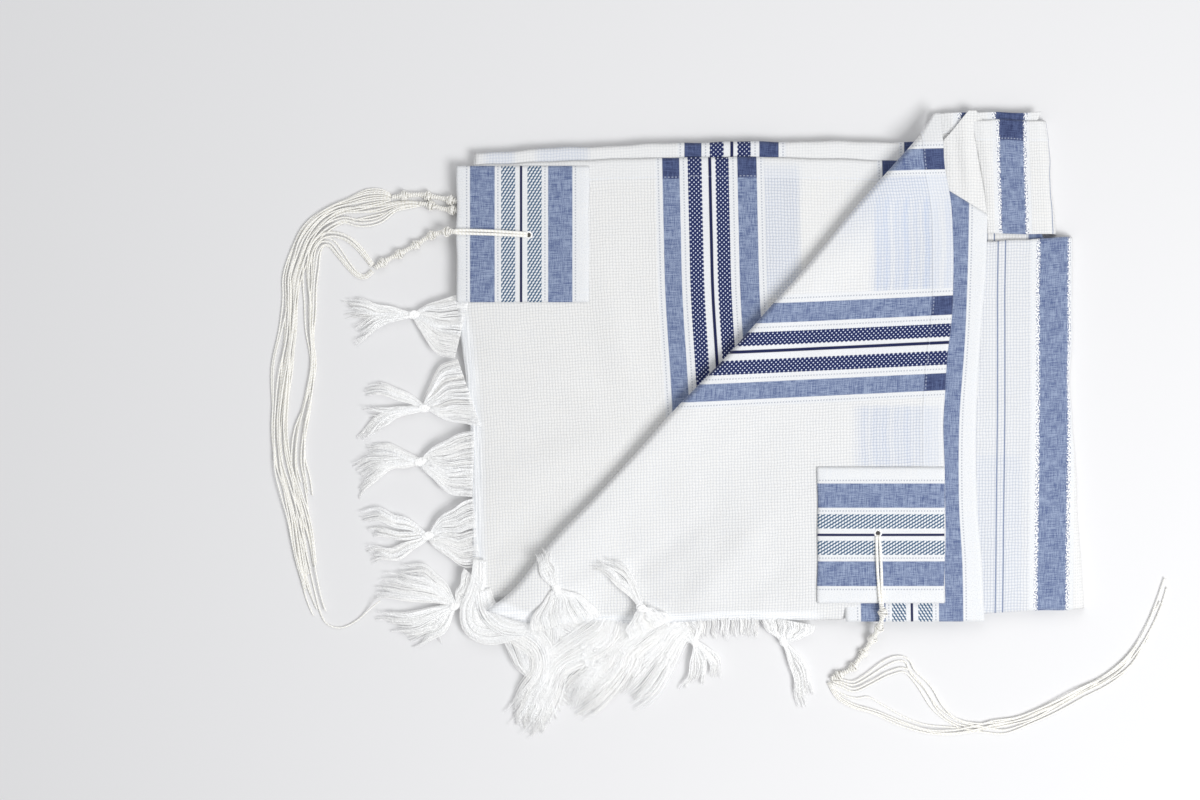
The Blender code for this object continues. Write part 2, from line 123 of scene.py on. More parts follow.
def mesh_from_arrays(name: str, points: np.ndarray, faces: list[np.ndarray]) -> bpy.types.Mesh:
    """Puts whole arrays of points and faces into a mesh.

    Args:
        name: the mesh's name.
        points: (n, 3) places in millimetres.
        faces: arrays of vertex numbers, each with its own count of corners.

    Returns:
        The smooth-shaded mesh, in metres.
    """
    mesh = bpy.data.meshes.new(name)
    corners = np.concatenate([block.reshape(-1) for block in faces]).astype(np.int32)
    sizes = np.concatenate([np.full(len(block), block.shape[1]) for block in faces]).astype(np.int32)
    mesh.vertices.add(len(points))
    mesh.vertices.foreach_set("co", (points * MM).astype(np.float32).reshape(-1))
    mesh.loops.add(len(corners))
    mesh.loops.foreach_set("vertex_index", corners)
    mesh.polygons.add(len(sizes))
    mesh.polygons.foreach_set("loop_start", np.concatenate([[0], np.cumsum(sizes)[:-1]]).astype(np.int32))
    mesh.polygons.foreach_set("use_smooth", np.ones(len(sizes), dtype=bool))
    mesh.update(calc_edges=True)
    mesh.validate()
    return mesh


def set_uv(mesh: bpy.types.Mesh, name: str, values: np.ndarray) -> None:
    """Stores a two-column value of each vertex as a UV map."""
    layer = mesh.uv_layers.new(name=name)
    corner = np.zeros(len(mesh.loops), dtype=np.int32)
    mesh.loops.foreach_get("vertex_index", corner)
    layer.data.foreach_set("uv", values[corner].astype(np.float32).reshape(-1))


def set_value(mesh: bpy.types.Mesh, name: str, values: np.ndarray) -> None:
    """Stores one number of each vertex as a point attribute."""
    layer = mesh.attributes.new(name=name, type="FLOAT", domain="POINT")
    layer.data.foreach_set("value", values.astype(np.float32).reshape(-1))


def add_piece(name: str, mesh: bpy.types.Mesh, material: bpy.types.Material,
              replaced: tuple[str, ...] = ()) -> bpy.types.Object:
    """Links a mesh as a finished piece that rides on the body.

    Args:
        name: the piece's name.
        mesh: its mesh, already in place.
        material: its finish.
        replaced: the CAD nodes that it stands for.

    Returns:
        The new object.
    """
    piece = bpy.data.objects.new(name, mesh)
    bpy.context.scene.collection.objects.link(piece)
    mesh.materials.append(material)
    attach(piece, BODY)
    if replaced:
        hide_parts(*replaced)
    return piece


def grid_faces(rows: int, columns: int) -> np.ndarray:
    """Gives the quads of a grid of rows by columns, wound to face up as the rows run to -Y."""
    corner = (np.arange(rows - 1)[:, None] * columns + np.arange(columns - 1)[None, :]).reshape(-1)
    return np.column_stack([corner, corner + columns, corner + columns + 1, corner + 1])


def cloth_shell(name: str, middle: np.ndarray, thickness: np.ndarray | float, cloth: np.ndarray,
                under: np.ndarray | None = None, frayed: np.ndarray | None = None) -> bpy.types.Mesh:
    """Closes a grid of middle points into a thin shell of cloth.

    The two faces lie half the thickness along the surface's normal on either side, and the rim
    is drawn in to a third of the thickness, so that a cut edge is soft.

    Args:
        name: the mesh's name.
        middle: (rows, columns, 3) middle surface, rows running to -Y and columns to +X.
        thickness: of the cloth, one number or one for each point.
        cloth: (rows, columns, 2) place in the weave: from the cut end, and from the selvedge.
        under: how much of a darker layer shows through, and how much painted shade, for each point.
        frayed: how far the cross threads are drawn out, for each point.

    Returns:
        A closed mesh with the UV map "cloth", in metres, and the attributes "under" and "frayed".
    """
    rows, columns = middle.shape[:2]
    normal = np.cross(np.gradient(middle, axis=0), np.gradient(middle, axis=1))
    normal /= np.linalg.norm(normal, axis=2, keepdims=True) + 1e-9
    half = np.full((rows, columns), 0.5) * thickness
    half[[0, -1], :] *= 0.34
    half[:, [0, -1]] *= 0.34
    offset = normal * half[:, :, None]
    points = np.concatenate([(middle + offset).reshape(-1, 3), (middle - offset).reshape(-1, 3)])
    top = grid_faces(rows, columns)
    count = rows * columns
    low = top[:, ::-1] + count
    numbers = np.arange(count).reshape(rows, columns)
    rim = np.concatenate([numbers[0, :-1], numbers[:-1, -1], numbers[-1, :0:-1], numbers[:0:-1, 0]])
    ahead = np.roll(rim, -1)
    side = np.column_stack([rim, ahead, ahead + count, rim + count])
    mesh = mesh_from_arrays(name, points, [top, low, side])
    flat = cloth.reshape(-1, 2) * MM
    set_uv(mesh, "cloth", np.concatenate([flat, flat]))
    for key, values in (("under", under), ("frayed", frayed)):
        value = np.zeros(count) if values is None else values.reshape(-1)
        set_value(mesh, key, np.concatenate([value, value]))
    return mesh


def thread_tubes(lines: np.ndarray, radius: np.ndarray, sides: int) -> Tubes:
    """Carries a regular ring along each of many lines.

    A ring's first axis is level, across the line's heading, and its second stands square to
    both, so all lines are worked out as one array.

    Args:
        lines: (threads, steps, 3) centre lines.
        radius: (threads, steps) radii.
        sides: corners of a ring.

    Returns:
        Points, faces, and for each point its distance along the thread and its turn, 0 to 1.
    """
    threads, steps = lines.shape[:2]
    heading = np.gradient(lines, axis=1)
    heading /= np.linalg.norm(heading, axis=2, keepdims=True) + 1e-9
    side = np.cross(heading, np.array([0.02, 0.01, 1.0]))
    side /= np.linalg.norm(side, axis=2, keepdims=True) + 1e-9
    rise = np.cross(side, heading)
    turn = 2 * math.pi * np.arange(sides) / sides
    spoke = (side[:, :, None, :] * np.cos(turn)[None, None, :, None]
             + rise[:, :, None, :] * np.sin(turn)[None, None, :, None])
    points = lines[:, :, None, :] + spoke * radius[:, :, None, None]
    number = np.arange(threads * steps * sides).reshape(threads, steps, sides)
    here = number[:, :-1, :]
    ahead = number[:, 1:, :]
    faces = np.stack([here, ahead, np.roll(ahead, -1, axis=2), np.roll(here, -1, axis=2)], axis=-1)
    caps = np.concatenate([number[:, 0, :], number[:, -1, ::-1]])
    step = np.linalg.norm(np.diff(lines, axis=1), axis=2)
    walked = np.concatenate([np.zeros((threads, 1)), np.cumsum(step, axis=1)], axis=1)
    along = np.repeat(walked[:, :, None], sides, axis=2)
    around = np.broadcast_to(turn / (2 * math.pi), along.shape)
    place = np.stack([along * MM, around], axis=-1).reshape(-1, 2)
    return points.reshape(-1, 3), [faces.reshape(-1, 4), caps], place


# ---------------------------------------------------------------------------------------------
# Node benches and shared effects
# ---------------------------------------------------------------------------------------------

Socket = bpy.types.NodeSocket
Sockets = bpy.types.bpy_prop_collection


class NodeBench:
    """Adds nodes to one tree and wires them."""

    def __init__(self, tree: bpy.types.NodeTree) -> None:
        """Takes the tree to work on."""
        self.tree = tree

    def add(self, kind: str, **settings: object) -> bpy.types.Node:
        """Adds a node of a kind and sets its properties."""
        node = self.tree.nodes.new(kind)
        for key, value in settings.items():
            setattr(node, key, value)
        return node

    def feed(self, socket: Socket, value: object) -> None:
        """Links a socket's source, or sets its plain value."""
        if isinstance(value, bpy.types.NodeSocket):
            self.tree.links.new(value, socket)
        else:
            socket.default_value = value

    def math(self, operation: str, first: object, second: object = 0.0, clamp: bool = False) -> Socket:
        """Adds a Math node and returns its result."""
        node = self.add("ShaderNodeMath", operation=operation, use_clamp=clamp)
        self.feed(node.inputs[0], first)
        self.feed(node.inputs[1], second)
        return node.outputs[0]

    def plus(self, first: object, second: object, clamp: bool = False) -> Socket:
        """Adds one value to another."""
        return self.math("ADD", first, second, clamp)

    def minus(self, first: object, second: object, clamp: bool = False) -> Socket:
        """Takes the second value from the first."""
        return self.math("SUBTRACT", first, second, clamp)

    def times(self, first: object, second: object, clamp: bool = False) -> Socket:
        """Multiplies one value by another."""
        return self.math("MULTIPLY", first, second, clamp)

    def over(self, first: object, second: object, clamp: bool = False) -> Socket:
        """Divides the first value by the second."""
        return self.math("DIVIDE", first, second, clamp)

    def mix(self, factor: object, first: object, second: object) -> Socket:
        """Mixes two colours by a factor."""
        node = self.add("ShaderNodeMix", data_type="RGBA")
        self.feed(node.inputs[0], factor)
        self.feed(node.inputs[6], first)
        self.feed(node.inputs[7], second)
        return node.outputs[2]

    def stretch(self, vector: object, scale: tuple[float, float, float]) -> Socket:
        """Multiplies a vector by a scale along each axis."""
        node = self.add("ShaderNodeVectorMath", operation="MULTIPLY")
        self.feed(node.inputs[0], vector)
        node.inputs[1].default_value = scale
        return node.outputs[0]

    def split(self, vector: object) -> tuple[Socket, Socket]:
        """Splits a vector and returns its X and Y."""
        node = self.add("ShaderNodeSeparateXYZ")
        self.feed(node.inputs[0], vector)
        return node.outputs[0], node.outputs[1]

    def noise(self, vector: object, scale: float, detail: float = 2.0, roughness: float = 0.5) -> Socket:
        """Adds a Noise texture and returns its factor."""
        node = self.add("ShaderNodeTexNoise")
        self.feed(node.inputs["Vector"], vector)
        node.inputs["Scale"].default_value = scale
        node.inputs["Detail"].default_value = detail
        node.inputs["Roughness"].default_value = roughness
        return node.outputs["Fac"]

    def remap(self, value: object, low: float, high: float,
              to_low: float = 0.0, to_high: float = 1.0) -> Socket:
        """Maps a value's range onto another, held at its ends."""
        node = self.add("ShaderNodeMapRange", clamp=True)
        self.feed(node.inputs["Value"], value)
        node.inputs["From Min"].default_value = low
        node.inputs["From Max"].default_value = high
        node.inputs["To Min"].default_value = to_low
        node.inputs["To Max"].default_value = to_high
        return node.outputs["Result"]

    def stripe(self, band: bpy.types.NodeTree, place: object, start: object, end: object,
               soft: float) -> Socket:
        """Places the stripe group and returns its mask."""
        return self.place(band, Place=place, Start=start, End=end, Soft=soft).outputs["Mask"]

    def place(self, group: bpy.types.NodeTree, **inputs: object) -> bpy.types.Node:
        """Places a node group and feeds its named inputs, with _ for a space."""
        node = self.add("ShaderNodeGroup", node_tree=group)
        for key, value in inputs.items():
            self.feed(node.inputs[key.replace("_", " ")], value)
        return node


class SharedEffects:
    """The node groups that several finishes use, each built once."""

    def __init__(self) -> None:
        """Builds every group."""
        self.band = self._band()
        self.lattice = self._lattice()
        self.open_weave = self._open_weave()
        self.chambray = self._chambray()
        self.stitch_row = self._stitch_row()

    @staticmethod
    def _start(name: str, inputs: dict[str, str], outputs: dict[str, str]
               ) -> tuple[NodeBench, Sockets, Sockets]:
        """Starts a group with its named sockets.

        Args:
            name: the group's name.
            inputs: socket names and their types.
            outputs: socket names and their types.

        Returns:
            A bench on the group, the sockets that it is given and the sockets that it makes.
        """
        tree = bpy.data.node_groups.new(name, "ShaderNodeTree")
        for key, kind in inputs.items():
            tree.interface.new_socket(key, in_out="INPUT", socket_type=kind)
        for key, kind in outputs.items():
            tree.interface.new_socket(key, in_out="OUTPUT", socket_type=kind)
        bench = NodeBench(tree)
        return bench, bench.add("NodeGroupInput").outputs, bench.add("NodeGroupOutput").inputs

    def _band(self) -> bpy.types.NodeTree:
        """A stripe's mask: 1 between Start and End, with soft edges of width Soft."""
        number = "NodeSocketFloat"
        bench, given, made = self._start(
            "woven_band", {"Place": number, "Start": number, "End": number, "Soft": number}, {"Mask": number})
        entry = bench.over(bench.minus(given["Place"], given["Start"]),
                           given["Soft"])
        leave = bench.over(bench.minus(given["End"], given["Place"]),
                           given["Soft"])
        entry = bench.plus(entry, 0.5, clamp=True)
        leave = bench.plus(leave, 0.5, clamp=True)
        bench.feed(made["Mask"], bench.times(entry, leave))
        return bench.tree

    def _lattice(self) -> bpy.types.NodeTree:
        """Spots in staggered rows: each an ellipse, leaning by Slant, fading over its rim."""
        number = "NodeSocketFloat"
        names = {"Across": number, "Along": number, "Pitch Across": number, "Pitch Along": number,
                 "Half Across": number, "Half Along": number, "Slant": number}
        bench, given, made = self._start("woven_spots", names, {"Mask": number})
        row = bench.over(given["Along"], given["Pitch Along"])
        row_number = bench.math("FLOOR", row)
        stagger = bench.times(bench.math("MODULO", row_number, 2.0), 0.5)
        column = bench.plus(bench.over(given["Across"], given["Pitch Across"]), stagger)
        down = bench.times(bench.minus(bench.math("FRACT", row), 0.5), given["Pitch Along"])
        over = bench.times(bench.minus(bench.math("FRACT", column), 0.5), given["Pitch Across"])
        over = bench.plus(over, bench.times(down, given["Slant"]))
        over = bench.math("POWER", bench.math("ABSOLUTE", bench.over(over, given["Half Across"])), 2.0)
        down = bench.math("POWER", bench.math("ABSOLUTE", bench.over(down, given["Half Along"])), 2.0)
        spread = bench.plus(over, down)
        bench.feed(made["Mask"], bench.remap(spread, 0.55, 1.35, 1.0, 0.0))
        return bench.tree

    def _open_weave(self) -> bpy.types.NodeTree:
        """The gauze: two crossing sets of threads with small gaps, pulled slightly out of line."""
        number = "NodeSocketFloat"
        bench, given, made = self._start(
            "open_weave", {"Weave": "NodeSocketVector", "Pitch": number}, {"Thread": number, "Tone": number})
        across, along = bench.split(given["Weave"])
        pull = bench.noise(bench.stretch(given["Weave"], (0.11, 0.11, 1.0)), 1.0, 2.0)
        pull = bench.times(bench.minus(pull, 0.5), 1.8)
        sets = []
        for place in (across, along):
            moved = bench.plus(place, pull)
            phase = bench.times(bench.over(moved, given["Pitch"]), 2 * math.pi)
            wave = bench.times(bench.plus(bench.math("COSINE", phase), 1.0), 0.5)
            sets.append(bench.math("POWER", wave, 2.2))
        lines = bench.times(bench.math("MAXIMUM", sets[0], sets[1]), 0.55)
        gap = bench.plus(lines, bench.times(bench.times(sets[0], sets[1]), 0.45))
        bench.feed(made["Thread"], bench.minus(1.0, gap))
        slub = bench.noise(bench.stretch(given["Weave"], (0.9, 0.06, 1.0)), 1.0, 2.0)
        cross = bench.noise(bench.stretch(given["Weave"], (0.05, 0.8, 1.0)), 1.0, 2.0)
        bench.feed(made["Tone"], bench.times(bench.plus(slub, cross), 0.5))
        return bench.tree

    def _chambray(self) -> bpy.types.NodeTree:
        """A close plain weave of two tones: streaks along each thread set, with fine grain."""
        colour = "NodeSocketColor"
        bench, given, made = self._start(
            "chambray", {"Weave": "NodeSocketVector", "Light": colour, "Dark": colour},
            {"Color": colour, "Height": "NodeSocketFloat"})
        weave = given["Weave"]
        warp = bench.noise(bench.stretch(weave, (1.8, 0.12, 1.0)), 1.0, 2.0, 0.6)
        weft = bench.noise(bench.stretch(weave, (0.10, 1.7, 1.0)), 1.0, 2.0, 0.6)
        grain = bench.noise(weave, 2.0, 3.0, 0.75)
        cloud = bench.noise(weave, 0.11, 2.0, 0.5)
        tone = bench.plus(bench.times(warp, 0.31), bench.times(weft, 0.33))
        tone = bench.plus(tone, bench.times(grain, 0.28))
        tone = bench.plus(tone, bench.times(cloud, 0.08))
        share = bench.remap(tone, 0.44, 0.56)
        bench.feed(made["Color"], bench.mix(share, given["Dark"], given["Light"]))
        bench.feed(made["Height"], grain)
        return bench.tree

    def _stitch_row(self) -> bpy.types.NodeTree:
        """A row of small stitches: a narrow band, broken at even steps along it."""
        number = "NodeSocketFloat"
        names = {"Across": number, "Along": number, "Centre": number, "Half": number, "Pitch": number}
        bench, given, made = self._start("stitch_row", names, {"Mask": number})
        low = bench.minus(given["Centre"], given["Half"])
        high = bench.plus(given["Centre"], given["Half"])
        row = bench.stripe(self.band, given["Across"], low, high, 0.35)
        step = bench.math("FRACT", bench.over(given["Along"], given["Pitch"]))
        dash = bench.stripe(self.band, step, 0.2, 0.72, 0.2)
        bench.feed(made["Mask"], bench.times(row, dash))
        return bench.tree


# ---------------------------------------------------------------------------------------------
# Finishes
# ---------------------------------------------------------------------------------------------

Colour = tuple[float, float, float, float]


class BandKind(Enum):
    """The stripes that are woven into the cloth and its striped strip."""

    SKY = "sky"
    DOTTED = "dotted"
    LINE = "line"
    OVALS = "ovals"
    THIN = "thin"


@dataclass(frozen=True)
class Band:
    """One woven stripe: its kind, and its two edges in millimetres across the stripes."""

    kind: BandKind
    start: float
    end: float


@dataclass(frozen=True)
class Dyes:
    """The colours of the yarns."""

    ground: Colour = (0.86, 0.853, 0.835, 1.0)
    # painted shade: the shaded layer beneath, seen through the weave's gaps and pinholes
    gap: Colour = (0.52, 0.54, 0.58, 1.0)
    crisp: Colour = (0.79, 0.81, 0.84, 1.0)
    sky_light: Colour = (0.315, 0.38, 0.53, 1.0)
    sky_dark: Colour = (0.09, 0.126, 0.26, 1.0)
    hem_light: Colour = (0.09, 0.122, 0.25, 1.0)
    hem_dark: Colour = (0.026, 0.038, 0.11, 1.0)
    navy: Colour = (0.012, 0.021, 0.10, 1.0)
    line: Colour = (0.006, 0.006, 0.036, 1.0)
    slate: Colour = (0.05, 0.112, 0.20, 1.0)
    spot: Colour = (0.74, 0.80, 0.92, 1.0)
    stitch: Colour = (0.27, 0.30, 0.38, 1.0)
    shadow_blue: Colour = (0.47, 0.56, 0.76, 1.0)
    ivory: Colour = (0.95, 0.94, 0.905, 1.0)
    ivory_deep: Colour = (0.80, 0.775, 0.70, 1.0)
    fringe: Colour = (0.975, 0.985, 1.0, 1.0)
    # painted shade: cream shade of fringe threads that lie deep in a bundle; also the darker tone in the
    # ply's grooves and in random patches
    fringe_shade_and_tone: Colour = (0.895, 0.885, 0.86, 1.0)
    shade: Colour = (0.07, 0.065, 0.06, 1.0)


DYES = Dyes()

BODY_BANDS = (
    Band(BandKind.SKY, 150.0, 162.4),
    Band(BandKind.DOTTED, 168.4, 178.4),
    Band(BandKind.LINE, 183.3, 185.6),
    Band(BandKind.DOTTED, 188.6, 198.2),
    Band(BandKind.SKY, 204.4, 218.4),
    Band(BandKind.SKY, 309.5, 324.5),
    Band(BandKind.THIN, 384.0, 384.9),
    Band(BandKind.THIN, 389.4, 390.3),
    Band(BandKind.SKY, 414.5, 436.0),
    Band(BandKind.THIN, 458.6, 459.6),
)
BODY_CRISP = ((145.0, 224.0), (305.5, 328.5), (409.0, 441.0))
BODY_STITCHES = (147.0, 165.4, 201.3, 221.6, 307.2, 326.8)
BODY_LASHES = (413.8, 436.6)

STRIP_BANDS = (
    Band(BandKind.SKY, -37.0, -19.1),
    Band(BandKind.OVALS, -14.4, -4.2),
    Band(BandKind.LINE, -0.9, 0.9),
    Band(BandKind.OVALS, 4.6, 15.0),
    Band(BandKind.SKY, 19.6, 37.2),
)
STRIP_STITCHES = (-39.4, -16.8, 17.3, 39.4)
HEM_DEPTH = 15.2


def new_material(name: str, roughness: float, sheen: float
                 ) -> tuple[bpy.types.Material, NodeBench, bpy.types.Node]:
    """Makes a textile material.

    Args:
        name: its name.
        roughness: the Principled shader's roughness.
        sheen: weight of the soft sheen of loose fibre ends.

    Returns:
        The material, a bench on its tree, and its Principled shader.
    """
    material = bpy.data.materials.new(name)
    material.use_nodes = True
    bench = NodeBench(material.node_tree)
    shader = material.node_tree.nodes["Principled BSDF"]
    shader.inputs["Roughness"].default_value = roughness
    shader.inputs["Sheen Weight"].default_value = sheen
    shader.inputs["Sheen Roughness"].default_value = 0.5
    shader.inputs["Specular IOR Level"].default_value = 0.2
    return material, bench, shader


def weave_place(bench: NodeBench) -> Socket:
    """Reads the UV map "cloth" and turns it into millimetres."""
    source = bench.add("ShaderNodeUVMap", uv_map="cloth")
    return bench.stretch(source.outputs["UV"], (1000.0, 1000.0, 1.0))


@dataclass(frozen=True)
class WovenFinish:
    """A striped weave: ground, stripes, stitched rows, doubled hem and what shows through, with painted shade
    in the weave's gaps and on the flap's upper end.
    """

    name: str
    bands: tuple[Band, ...]
    crisp: tuple[tuple[float, float], ...]
    stitches: tuple[float, ...]
    hem_depth: float
    pitch: float
    thread_share: float
    bump: float
    lashes: tuple[float, ...] = ()

    def stripe_colour(self, bench: NodeBench, effects: SharedEffects, kind: BandKind, weave: Socket,
                      hem: Socket) -> Socket:
        """Works out the colour inside one kind of stripe.

        Args:
            bench: the material's bench.
            effects: the shared groups.
            kind: which stripe.
            weave: place in the weave, in millimetres.
            hem: 1 where the cloth is doubled.

        Returns:
            The colour.
        """
        across, along = bench.split(weave)
        if kind is BandKind.SKY:
            single = bench.place(effects.chambray, Weave=weave, Light=DYES.sky_light, Dark=DYES.sky_dark)
            doubled = bench.place(effects.chambray, Weave=weave, Light=DYES.hem_light, Dark=DYES.hem_dark)
            return bench.mix(hem, single.outputs["Color"], doubled.outputs["Color"])
        if kind is BandKind.DOTTED:
            spots = bench.place(effects.lattice, Across=across, Along=along,
                                Pitch_Across=3.2, Pitch_Along=1.6,
                                Half_Across=0.46, Half_Along=0.52, Slant=0.15)
            shown = bench.times(spots.outputs["Mask"], bench.remap(hem, 0.0, 1.0, 1.0, 0.8))
            return bench.mix(shown, DYES.navy, DYES.spot)
        if kind is BandKind.OVALS:
            ovals = bench.place(effects.lattice, Across=across, Along=along,
                                Pitch_Across=2.55, Pitch_Along=2.05,
                                Half_Across=0.80, Half_Along=0.95, Slant=-0.5)
            return bench.mix(ovals.outputs["Mask"], DYES.slate, DYES.crisp)
        if kind is BandKind.LINE:
            return bench.mix(bench.noise(weave, 0.9, 2.0), DYES.line, DYES.navy)
        return bench.mix(bench.noise(weave, 0.8, 2.0), DYES.sky_dark, DYES.sky_light)

    def build(self, effects: SharedEffects) -> bpy.types.Material:
        """Builds the material.

        Args:
            effects: the shared groups.

        Returns:
            The finished material.
        """
        material, bench, shader = new_material(self.name, 0.88, 0.25)
        weave = weave_place(bench)
        across, along = bench.split(weave)
        gauze = bench.place(effects.open_weave, Weave=weave, Pitch=self.pitch)
        tone = bench.remap(gauze.outputs["Tone"], 0.35, 0.65)
        ground = bench.mix(bench.times(tone, 0.35), DYES.ground, DYES.crisp)
        under = bench.add("ShaderNodeAttribute", attribute_name="under").outputs["Fac"]
        # painted shade: the weave's gaps take the dark gap colour, more where a layer beneath shows through
        opened = bench.remap(under, 0.0, 0.4, 0.42 * self.thread_share, self.thread_share)
        gap_shade_mask = bench.times(bench.minus(1.0, gauze.outputs["Thread"]), opened)
        ground = bench.mix(gap_shade_mask, ground, DYES.gap)
        hem = bench.stripe(effects.band, along, -400.0, self.hem_depth, 0.5)
        dense = bench.times(hem, 0.35)
        for start, end in self.crisp:
            dense = bench.math("MAXIMUM", dense, bench.stripe(effects.band, across, start, end, 1.0))
        # painted shade: on the flap's upper end this mix darkens the ground towards shadow blue; elsewhere it
        # is the blue of a layer beneath showing through
        sheer_and_shade = bench.times(under, bench.remap(gauze.outputs["Thread"], 0.2, 1.0, 1.0, 0.55))
        ground = bench.mix(sheer_and_shade, ground, DYES.shadow_blue)
        close_white = bench.mix(bench.times(tone, 0.5), DYES.crisp, DYES.ground)
        # painted shade: small dark specks for pinholes in the close white weave
        speck_shade = bench.remap(bench.noise(weave, 1.1, 3.0, 0.8), 0.38, 0.52, 0.4, 0.0)
        colour = bench.mix(dense, ground, bench.mix(speck_shade, close_white, DYES.gap))
        woven = dense
        ripple = bench.times(bench.math("SINE", bench.times(along, 2 * math.pi / 3.2)), 0.3)
        for kind in BandKind:
            place = bench.plus(across, ripple) if kind is BandKind.DOTTED else across
            masks = [bench.stripe(effects.band, place, band.start, band.end, 0.5)
                     for band in self.bands if band.kind is kind]
            if not masks:
                continue
            total = masks[0]
            for mask in masks[1:]:
                total = bench.math("MAXIMUM", total, mask)
            colour = bench.mix(total, colour, self.stripe_colour(bench, effects, kind, weave, hem))
            woven = bench.math("MAXIMUM", woven, total)
        for centre in self.stitches:
            row = bench.place(effects.stitch_row, Across=across, Along=along, Centre=centre, Half=0.5,
                              Pitch=2.1)
            colour = bench.mix(bench.times(row.outputs["Mask"], 0.6), colour, DYES.stitch)
        for centre in self.lashes:
            row = bench.stripe(effects.band, across, centre - 1.5, centre + 1.5, 0.5)
            loops = bench.noise(bench.stretch(weave, (1.1, 0.8, 1.0)), 1.0, 1.0)
            dark = bench.times(row, bench.remap(loops, 0.50, 0.40, 0.0, 0.8))
            light = bench.times(row, bench.remap(loops, 0.50, 0.58))
            colour = bench.mix(light, bench.mix(dark, colour, DYES.hem_light), DYES.fringe)
        hem_seam = bench.place(effects.stitch_row, Across=along, Along=across, Centre=self.hem_depth - 1.2,
                               Half=0.4, Pitch=2.6)
        colour = bench.mix(bench.times(hem_seam.outputs["Mask"], 0.35), colour, DYES.spot)
        drawn = bench.add("ShaderNodeAttribute", attribute_name="frayed").outputs["Fac"]
        strands = bench.remap(bench.noise(bench.stretch(weave, (1.6, 0.03, 1.0)), 1.0, 2.0), 0.4, 0.6)
        colour = bench.mix(drawn, colour, bench.mix(strands, DYES.crisp, DYES.fringe))
        bench.feed(shader.inputs["Base Color"], colour)
        close = bench.noise(weave, 1.5, 3.0, 0.7)
        open_height = bench.times(gauze.outputs["Thread"], bench.minus(1.0, woven))
        height = bench.plus(open_height, bench.times(close, 0.7))
        height = bench.plus(height, bench.times(hem, 0.8))
        bump = bench.add("ShaderNodeBump")
        bump.inputs["Strength"].default_value = self.bump
        bump.inputs["Distance"].default_value = 0.0004
        bench.feed(bump.inputs["Height"], height)
        bench.feed(shader.inputs["Normal"], bump.outputs["Normal"])
        return material


@dataclass(frozen=True)
class YarnFinish:
    """A soft plied yarn: two tones that wind along the strand, with a low twist in its height, painted shade
    on threads that lie deep in a bundle, and an even painted glow that stands in for light passing through
    the fibres.
    """

    name: str
    light: Colour
    # the darker colour: in the ply's grooves and random patches, and as painted shade on threads deep in a
    # bundle
    deep: Colour
    twist: float
    plies: float
    scatter: float = 0.6
    painted_glow: float = 0.0

    def build(self) -> bpy.types.Material:
        """Builds the material from the strand's own UV map, length by turn."""
        material, bench, shader = new_material(self.name, 0.75, 0.2)
        shader.inputs["Subsurface Weight"].default_value = self.scatter
        shader.inputs["Subsurface Radius"].default_value = (1.0, 1.0, 1.0)
        shader.inputs["Subsurface Scale"].default_value = 0.0015
        # painted light: an even emission in the yarn's light colour stands in for light passing through the
        # fibres
        shader.inputs["Emission Color"].default_value = self.light
        shader.inputs["Emission Strength"].default_value = self.painted_glow
        source = bench.add("ShaderNodeUVMap", uv_map="yarn")
        along, around = bench.split(source.outputs["UV"])
        wind = bench.plus(bench.over(bench.times(along, 1000.0), self.twist), around)
        # painted shade: threads that lie deep in a bundle are mixed towards the darker colour
        deep = bench.add("ShaderNodeAttribute", attribute_name="deep").outputs["Fac"]
        wind = bench.plus(wind, bench.times(deep, 9.0))
        wave = bench.math("COSINE", bench.times(wind, 2 * math.pi * self.plies))
        wave = bench.times(bench.plus(wave, 1.0), 0.5)
        place = bench.add("ShaderNodeTexCoord").outputs["Object"]
        patch = bench.noise(place, 160.0, 3.0, 0.6)
        share = bench.plus(bench.times(wave, 0.55), bench.times(patch, 0.45))
        share = bench.times(bench.remap(share, 0.15, 0.6), bench.minus(1.0, deep))
        bench.feed(shader.inputs["Base Color"], bench.mix(share, self.deep, self.light))
        bump = bench.add("ShaderNodeBump")
        bump.inputs["Strength"].default_value = 0.5
        bump.inputs["Distance"].default_value = 0.0003
        bench.feed(bump.inputs["Height"], wave)
        bench.feed(shader.inputs["Normal"], bump.outputs["Normal"])
        return material


@dataclass
class Finishes:
    """Every finish on the shawl."""

    effects: SharedEffects = field(default_factory=SharedEffects)

    def __post_init__(self) -> None:
        """Builds the materials."""
        self.gauze = WovenFinish("gauze", BODY_BANDS, BODY_CRISP, BODY_STITCHES, HEM_DEPTH, 2.2, 0.95, 0.8,
                                 BODY_LASHES).build(self.effects)
        self.strip = WovenFinish("striped_strip", STRIP_BANDS, ((-60.0, 60.0),), STRIP_STITCHES, -300.0,
                                 1.2, 0.2, 0.7).build(self.effects)
        # painted light: the last number of the fringe and of the tzitzit yarn is an even glow that stands in
        # for light passing through them
        self.fringe = YarnFinish("fringe_cotton", DYES.fringe, DYES.fringe_shade_and_tone, 3.0, 1.0, 0.5, 0.18).build()
        self.tzitzit = YarnFinish("tzitzit_yarn", DYES.ivory, DYES.ivory_deep, 2.6, 1.0, 0.5, 0.05).build()
        self.hole = YarnFinish("eyelet_shade", DYES.shade, DYES.line, 3.0, 1.0, 0.0).build()


def add_yarn(name: str, tubes: Tubes, material: bpy.types.Material, replaced: tuple[str, ...] = (),
             deep: np.ndarray | None = None) -> bpy.types.Object:
    """Adds a piece made of yarn.

    Args:
        name: the piece's name.
        tubes: its points, faces and places along the yarn.
        material: its finish.
        replaced: the CAD nodes that it stands for.
        deep: painted shade of each point, by how deep in its bundle it lies, 0 to 1.

    Returns:
        The piece.
    """
    points, faces, places = tubes
    mesh = mesh_from_arrays(name, points, faces)
    set_uv(mesh, "yarn", places)
    if deep is not None:
        set_value(mesh, "deep", deep)
    return add_piece(name, mesh, material, replaced)


